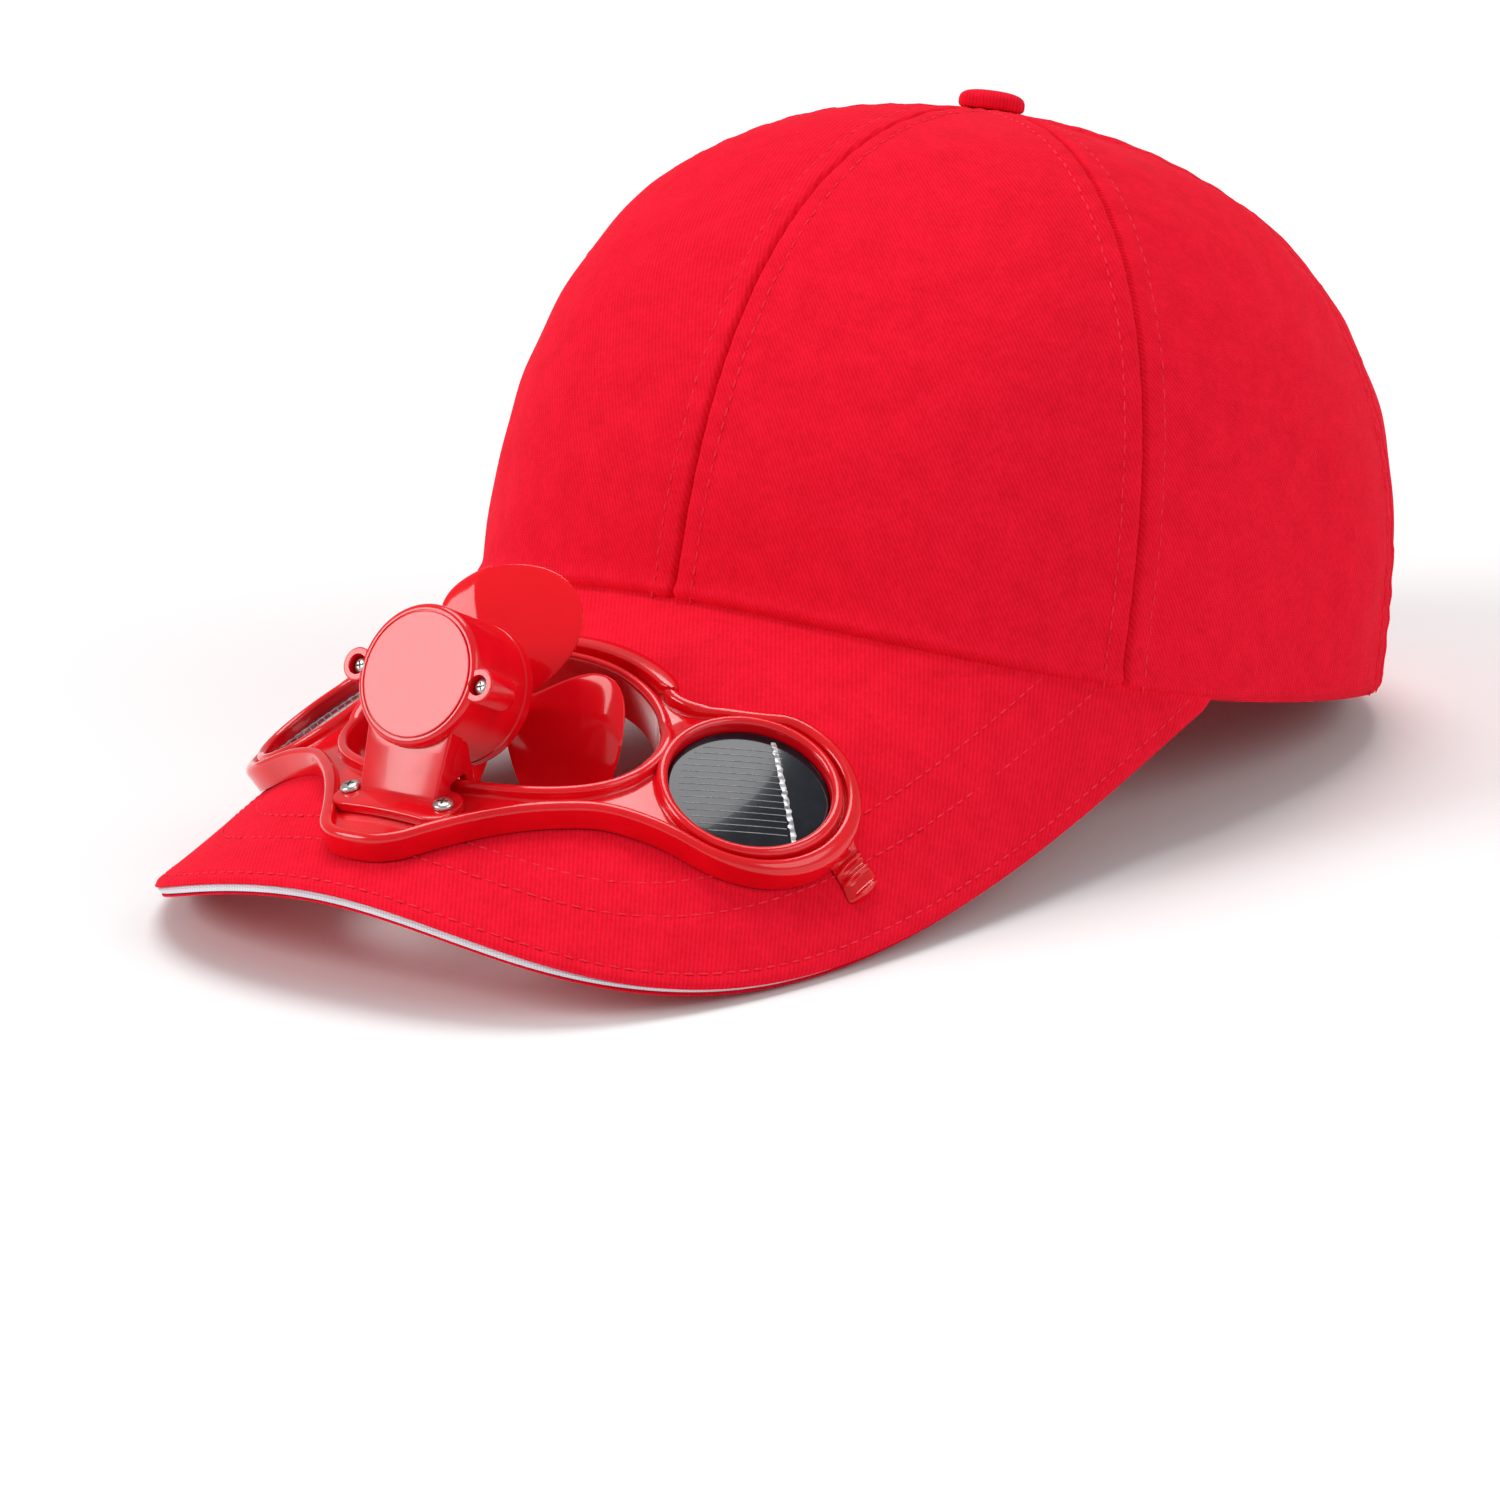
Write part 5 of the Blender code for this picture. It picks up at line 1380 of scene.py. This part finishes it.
def motor_housing():
    """Drum with a face disc set off by a groove, rolled edge, rear cap line and two screw ears."""
    face, rear, r = DRUM_FACE, DRUM_REAR, DRUM_RADIUS
    profile = [(x * MM, face - drop * MM) for x, drop in (
        (0.0, 0.0), (6.0, 0.0), (12.0, 0.0), (12.3, 0.0), (12.42, 0.06), (12.46, 0.30), (12.62, 0.30),
        (12.66, 0.10))]
    profile += corner((12.85 * MM, face - 1.22 * MM), (1.15 * MM, 1.15 * MM), 0.0, 9)
    profile.append((r, face - 2.0 * MM))
    profile += [(r - inset * MM, rear + up * MM) for inset, up in (
        (0.0, 3.3), (0.28, 3.1), (0.28, 2.8), (0.0, 2.6), (0.0, 1.2))]
    profile += corner((r - 1.2 * MM, rear + 1.2 * MM), (1.2 * MM, 1.2 * MM), 0.1, 7, True)
    profile += [(4.2 * MM, rear), (4.0 * MM, rear - 0.9 * MM), (0.0, rear - 0.9 * MM)]
    housing = turned("motor_housing_drum", profile, 144, RED_GLOSS)
    front, lip, tail = face - EAR_SETBACK, 0.35 * MM, 2.6 * MM
    outline = [(0.0, front), (EAR_RADIUS - lip, front)]
    outline += corner((EAR_RADIUS - lip, front - lip), (lip, lip), 0.2, 5)
    outline.append((EAR_RADIUS, front - EAR_LENGTH + tail))
    outline += corner((0.0, front - EAR_LENGTH + tail), (EAR_RADIUS, tail), 0.15, 8, True)
    for across in (-EAR_OFFSET, EAR_OFFSET):
        ear = place(turned("ear", outline, 64, RED_GLOSS), Matrix.Translation((across, 0.0, 0.0)))
        boolean(housing, ear, "UNION")
        hole = cylinder("hole", EAR_HOLE, front - EAR_RECESS, front + 3.0 * MM, across)
        boolean(housing, hole, "DIFFERENCE")
    boolean(housing, cylinder("bore", SHAFT_BORE, rear - 4.0 * MM, rear + 4.0 * MM), "DIFFERENCE")
    return tidy(place(housing, FAN), 1e-7, 33.0)


def drum_line(below):
    """Flat-pattern forward and height of a line on the drum's face, so far below its middle."""
    forward = OPENING_FORWARD + DRUM_FACE * sin(FAN_LEAN) + below * cos(FAN_LEAN)
    return forward, FAN_RISE + DRUM_FACE * cos(FAN_LEAN) - below * sin(FAN_LEAN)


def rounded(corners, radius, spacing=0.5 * MM):
    """A polygon with its corners rounded, as an even closed outline."""
    corners = np.array(corners, float)
    path = []
    for before, corner, after in zip(np.roll(corners, 1, axis=0), corners, np.roll(corners, -1, axis=0)):
        start = corner + unit(before - corner) * min(radius, np.linalg.norm(before - corner) * 0.45)
        end = corner + unit(after - corner) * min(radius, np.linalg.norm(after - corner) * 0.45)
        for t in np.linspace(0.0, 1.0, 6):
            path.append((1 - t) ** 2 * start + 2 * t * (1 - t) * corner + t ** 2 * end)
    return even(path, spacing)


def standing(flat):
    """Turn a flat slab of (forward, height) with thickness across into (across, forward, height)."""
    points, faces = flat
    return points[:, [2, 0, 1]], faces


def motor_bracket():
    """Flange, neck and two cheeks with legs, cut to the drum."""
    bottom = WEB_HEIGHT + GAP
    top = bottom + FLANGE_THICKNESS
    w, c = FLANGE_HALF_WIDTH, FLANGE_CORNER
    corners = []
    for start, ax, fx in ((0, w - c, FLANGE_FRONT - c), (90, -w + c, FLANGE_FRONT - c),
                          (180, -w + c, FLANGE_REAR + c), (270, w - c, FLANGE_REAR + c)):
        corners += arc((ax, fx), c, start, start + 90, 10)
    flange = moulded(even(corners, 0.6 * MM), bottom, top, 0.45 * MM, 0.0, cell=1.2 * MM)
    neck_rear = FLANGE_REAR + GAP / 3.0
    neck_front = neck_rear + NECK_DEPTH
    middle_forward, middle_height = drum_line(NECK_SETBACK)
    back = np.array((sin(FAN_LEAN), cos(FAN_LEAN))) * 1.6 * MM
    neck_side = rounded([
        (neck_front, bottom + 0.6 * MM), (neck_front, top),
        (middle_forward - back[0], middle_height - back[1]),
        (middle_forward - DRUM_LENGTH / 2.0, middle_height),
        (neck_rear - NECK_DEPTH / 2.0, top + NECK_DEPTH), (neck_rear, top), (neck_rear, bottom + 0.6 * MM),
    ], 0.6 * MM)
    neck = standing(moulded(neck_side, -NECK_HALF_WIDTH, NECK_HALF_WIDTH, 0.4 * MM, 0.4 * MM, cell=1.5 * MM))
    leg_front = OPENING_FORWARD + OPENING_HALF_DEPTH * 0.94
    pass_height = RIM_HEIGHT + 0.6 * MM
    cheek_height = middle_height - NECK_DEPTH
    pieces = [laid("flange", flange, on_peak), laid("neck", neck, on_peak)]
    for side in (-1.0, 1.0):
        outline = rounded([
            (neck_rear + NECK_DEPTH / 2.0, pass_height), (neck_rear - NECK_DEPTH / 2.0, cheek_height),
            (leg_front - 2.2 * MM, cheek_height), (leg_front - 2.2 * MM, 1.0 * MM),
            (leg_front, 1.0 * MM), (leg_front, pass_height),
        ], 0.4 * MM)
        low, high = sorted((side * (NECK_HALF_WIDTH - 2.0 * MM), side * NECK_HALF_WIDTH * 0.98))
        cheek = standing(moulded(outline, low, high, 0.3 * MM, 0.3 * MM, cell=1.5 * MM))
        pieces.append(laid("cheek", cheek, on_peak))
    bracket = pieces[0]
    bracket.name = "motor_bracket_moulding"
    for other in pieces[1:]:
        boolean(bracket, other, "UNION")
    room = cylinder("room", DRUM_RADIUS + 0.02 * MM, DRUM_REAR - 6 * MM, DRUM_FACE + 6 * MM, segments=144)
    boolean(bracket, place(room, FAN), "DIFFERENCE")
    return tidy(bracket, 1e-7, 35.0)


def screw(name, size=1.0):
    """Pan head with a cross recess, seated at the origin."""
    r, h = SCREW_RADIUS * size, SCREW_HEIGHT
    turns = np.linspace(0.12, pi / 2.0, 12)
    profile = [(0.0, h)] + [(r * sin(t) ** 0.85, h * (0.32 + 0.68 * cos(t) ** 0.75)) for t in turns]
    profile += [(r, 0.12 * h), (r * 0.95, 0.0), (0.0, 0.0)]
    head = turned(name, profile, 64, STEEL)
    bar = Matrix.Translation((0.0, 0.0, h)) @ Matrix.Diagonal((r * 1.05, r * 0.26, h * 1.3, 1.0))
    for turn in (20.0, 110.0):
        box = bmesh.new()
        bmesh.ops.create_cube(box, size=1.0, matrix=Matrix.Rotation(radians(turn), 4, "Z") @ bar)
        mesh = bpy.data.meshes.new("cross")
        box.to_mesh(mesh)
        box.free()
        boolean(head, linked("cross", mesh), "DIFFERENCE")
    return tidy(head, 1e-7, 30.0)


finish_piece(motor_housing(), "cap", "red_plastic", "motor_housing")
finish_piece(motor_bracket(), "cap", "red_plastic", "motor_bracket")
flange_middle = (FLANGE_REAR + FLANGE_FRONT) / 2.0
flange_top = WEB_HEIGHT + GAP + FLANGE_THICKNESS + 0.05 * MM
recess_floor = DRUM_FACE - EAR_SETBACK - EAR_RECESS + 0.1 * MM
for side_name, side in (("left", 1.0), ("right", -1.0)):
    spot = Vector(on_peak(side * SCREW_ACROSS, flange_middle, flange_top))
    tilt = PEAK.to_3x3().to_4x4() @ Matrix.Rotation(side * SCREW_ACROSS / PEAK_BEND_RADIUS, 4, "Y")
    head = place(screw("bracket_screw_" + side_name + "_head"), Matrix.Translation(spot) @ tilt)
    finish_piece(head, "cap", "screw_steel", "bracket_screw_" + side_name)
    seat = FAN @ Matrix.Translation((side * EAR_OFFSET, 0.0, recess_floor))
    head = place(screw("housing_screw_" + side_name + "_head", 0.82), seat)
    finish_piece(head, "cap", "screw_steel", "housing_screw_" + side_name)


# Fan

def blade_half_width(radius):
    start = HUB_RADIUS / 2.0
    stem = np.clip((radius - start) / (BLADE_WIDEST - start), 0.0, 1.0)
    inner = BLADE_ROOT_HALF_WIDTH + (BLADE_HALF_WIDTH - BLADE_ROOT_HALF_WIDTH) * np.sin(stem * pi / 2.0)
    tip = np.clip((radius - BLADE_WIDEST) / (FAN_RADIUS - BLADE_WIDEST), 0.0, 1.0)
    return np.where(radius < BLADE_WIDEST, inner, BLADE_HALF_WIDTH * (1.0 - tip ** 2.2) ** (1.0 / 2.2))


def fan_blade(number):
    """One pitched, swept petal blade whose leading strip lies flat."""
    rows, columns = 60, 45
    start = HUB_RADIUS * 0.6
    share = np.linspace(0.0, 1.0, rows)
    radius = start + (FAN_RADIUS - start) * np.sin(share * pi / 2.0)
    half = blade_half_width(np.minimum(radius, FAN_RADIUS - 0.004 * MM))
    t = np.sin(np.linspace(-1.0, 1.0, columns) * pi / 2.0)
    across = half[:, None] * t[None]
    rr = np.broadcast_to(radius[:, None], across.shape)
    fold = np.where(t < 0.36, t, 0.36 + 0.06 * np.tanh((t - 0.36) / 0.06))
    height = half[:, None] * fold[None] * tan(BLADE_PITCH) - BLADE_SETBACK - 0.3 * MM * (rr / FAN_RADIUS) ** 2
    turn = BLADE_START + 2.0 * pi * number / BLADES + BLADE_SWEEP * (rr - start) / (FAN_RADIUS - start)
    x, y = rr * np.cos(turn) - across * np.sin(turn), rr * np.sin(turn) + across * np.cos(turn)
    middle = np.stack([x, y, height], -1)
    normal = grid_normals(middle)
    rim = np.minimum(1.0 - np.abs(t)[None] ** 6, 1.0 - share[:, None] ** 30)
    thick = BLADE_THICKNESS / 2.0 * (0.30 + 0.70 * np.clip(rim, 0.0, 1.0) ** 0.5)
    outer, inner = middle + normal * thick[..., None], middle - normal * thick[..., None]
    return shell("blade", outer, inner, FAN_GLOSS_PAINTED_BACKLIGHT, np.zeros((rows, columns, 2)))


def fan_rotor():
    """Hub with a domed rear, bored for the shaft, and its blades."""
    half, r, edge = HUB_LENGTH / 2.0, HUB_RADIUS, 0.5 * MM
    profile = [(0.0, half), (r - edge, half), *corner((r - edge, half - edge), (edge, edge), 0.2, 5)]
    profile.append((r, -half * 0.6))
    profile += corner((0.0, -half * 0.6), (r, half * 0.4 + 2.5 * MM), 0.12, 12, True)
    hub = turned("hub", profile, 96, FAN_GLOSS_PAINTED_BACKLIGHT)
    bore = cylinder("bore", SHAFT_BORE, half - 4.0 * MM, half + 3.0 * MM, segments=40)
    tidy(boolean(hub, bore, "DIFFERENCE"), 1e-7, 35.0)
    rotor = joined("fan_rotor_moulding", [hub] + [fan_blade(number) for number in range(BLADES)])
    return shade(place(rotor, FAN), 40.0)


finish_piece(fan_rotor(), "fan", "red_plastic", "fan_rotor")
shaft_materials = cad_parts["motor_shaft"].data.materials
shaft_materials.clear()
shaft_materials.append(STEEL)


# Studio

LAMPS = (  # name, direction to it, strength, spread in degrees
    ("overhead", (-0.219, 0.269, 0.938), 1.62, 36.0),
    ("key", (-0.585, -0.652, 0.48), 1.50, 30.0),
    ("right_fill", (0.85, 0.10, 0.50), 0.85, 40.0),
)


def studio():
    """Pale floor, soft lamps and a white sky."""
    world = bpy.data.worlds.new("studio")
    bpy.context.scene.world = world
    world.use_nodes = True
    sky = world.node_tree.nodes["Background"].inputs
    sky["Color"].default_value = (1.0, 1.0, 1.0, 1.0)
    sky["Strength"].default_value = 0.38
    bpy.context.scene.view_settings.view_transform = "Standard"
    bpy.ops.mesh.primitive_plane_add(size=40.0, location=(0.0, 0.0, 0.0))
    floor = bpy.context.object
    floor.name = "floor"
    floor.data.materials.append(FLOOR)
    for name, towards, power, spread in LAMPS:
        lamp = bpy.data.lights.new(name, "SUN")
        lamp.energy = power
        lamp.angle = radians(spread)
        holder = linked(name, lamp)
        holder.location = Vector(towards)
        holder.rotation_euler = (-Vector(towards)).to_track_quat("-Z", "Y").to_euler()


def camera():
    """The photograph's camera: its place round the hat, and its aim as a pixel of the 1500-pixel frame."""
    azimuth, elevation, roll = radians(37.16), radians(14.31), radians(1.9)
    distance, focal = 1.4132, 6947.2
    aim_x, aim_y = 805.9, 503.3
    turn = turn_x(HAT_TILT).to_3x3()
    centre = HAT @ (Vector((0.0, 0.0090, 0.0611)) - Vector((0.0, 0.1406, 0.0)))
    back = turn @ Vector((sin(azimuth) * cos(elevation), -cos(azimuth) * cos(elevation), sin(elevation)))
    right = turn @ Vector((cos(azimuth), sin(azimuth), 0.0))
    up = back.cross(right)
    right_turned = cos(roll) * right - sin(roll) * up
    up_turned = sin(roll) * right + cos(roll) * up
    forward = -back - right_turned * ((aim_x - 750.0) / focal) - up_turned * ((750.0 - aim_y) / focal)
    forward.normalize()
    side = forward.cross(up_turned).normalized()
    top = side.cross(forward)
    lens = bpy.data.cameras.new("camera")
    lens.sensor_width = 36.0
    lens.lens = 36.0 * focal / 1500.0
    lens.clip_start, lens.clip_end = 0.05, 20.0
    eye = linked("camera", lens)
    basis = Matrix((side, top, -forward)).transposed().to_4x4()
    eye.matrix_world = Matrix.Translation(centre + back * distance) @ basis
    bpy.context.scene.camera = eye


studio()
camera()
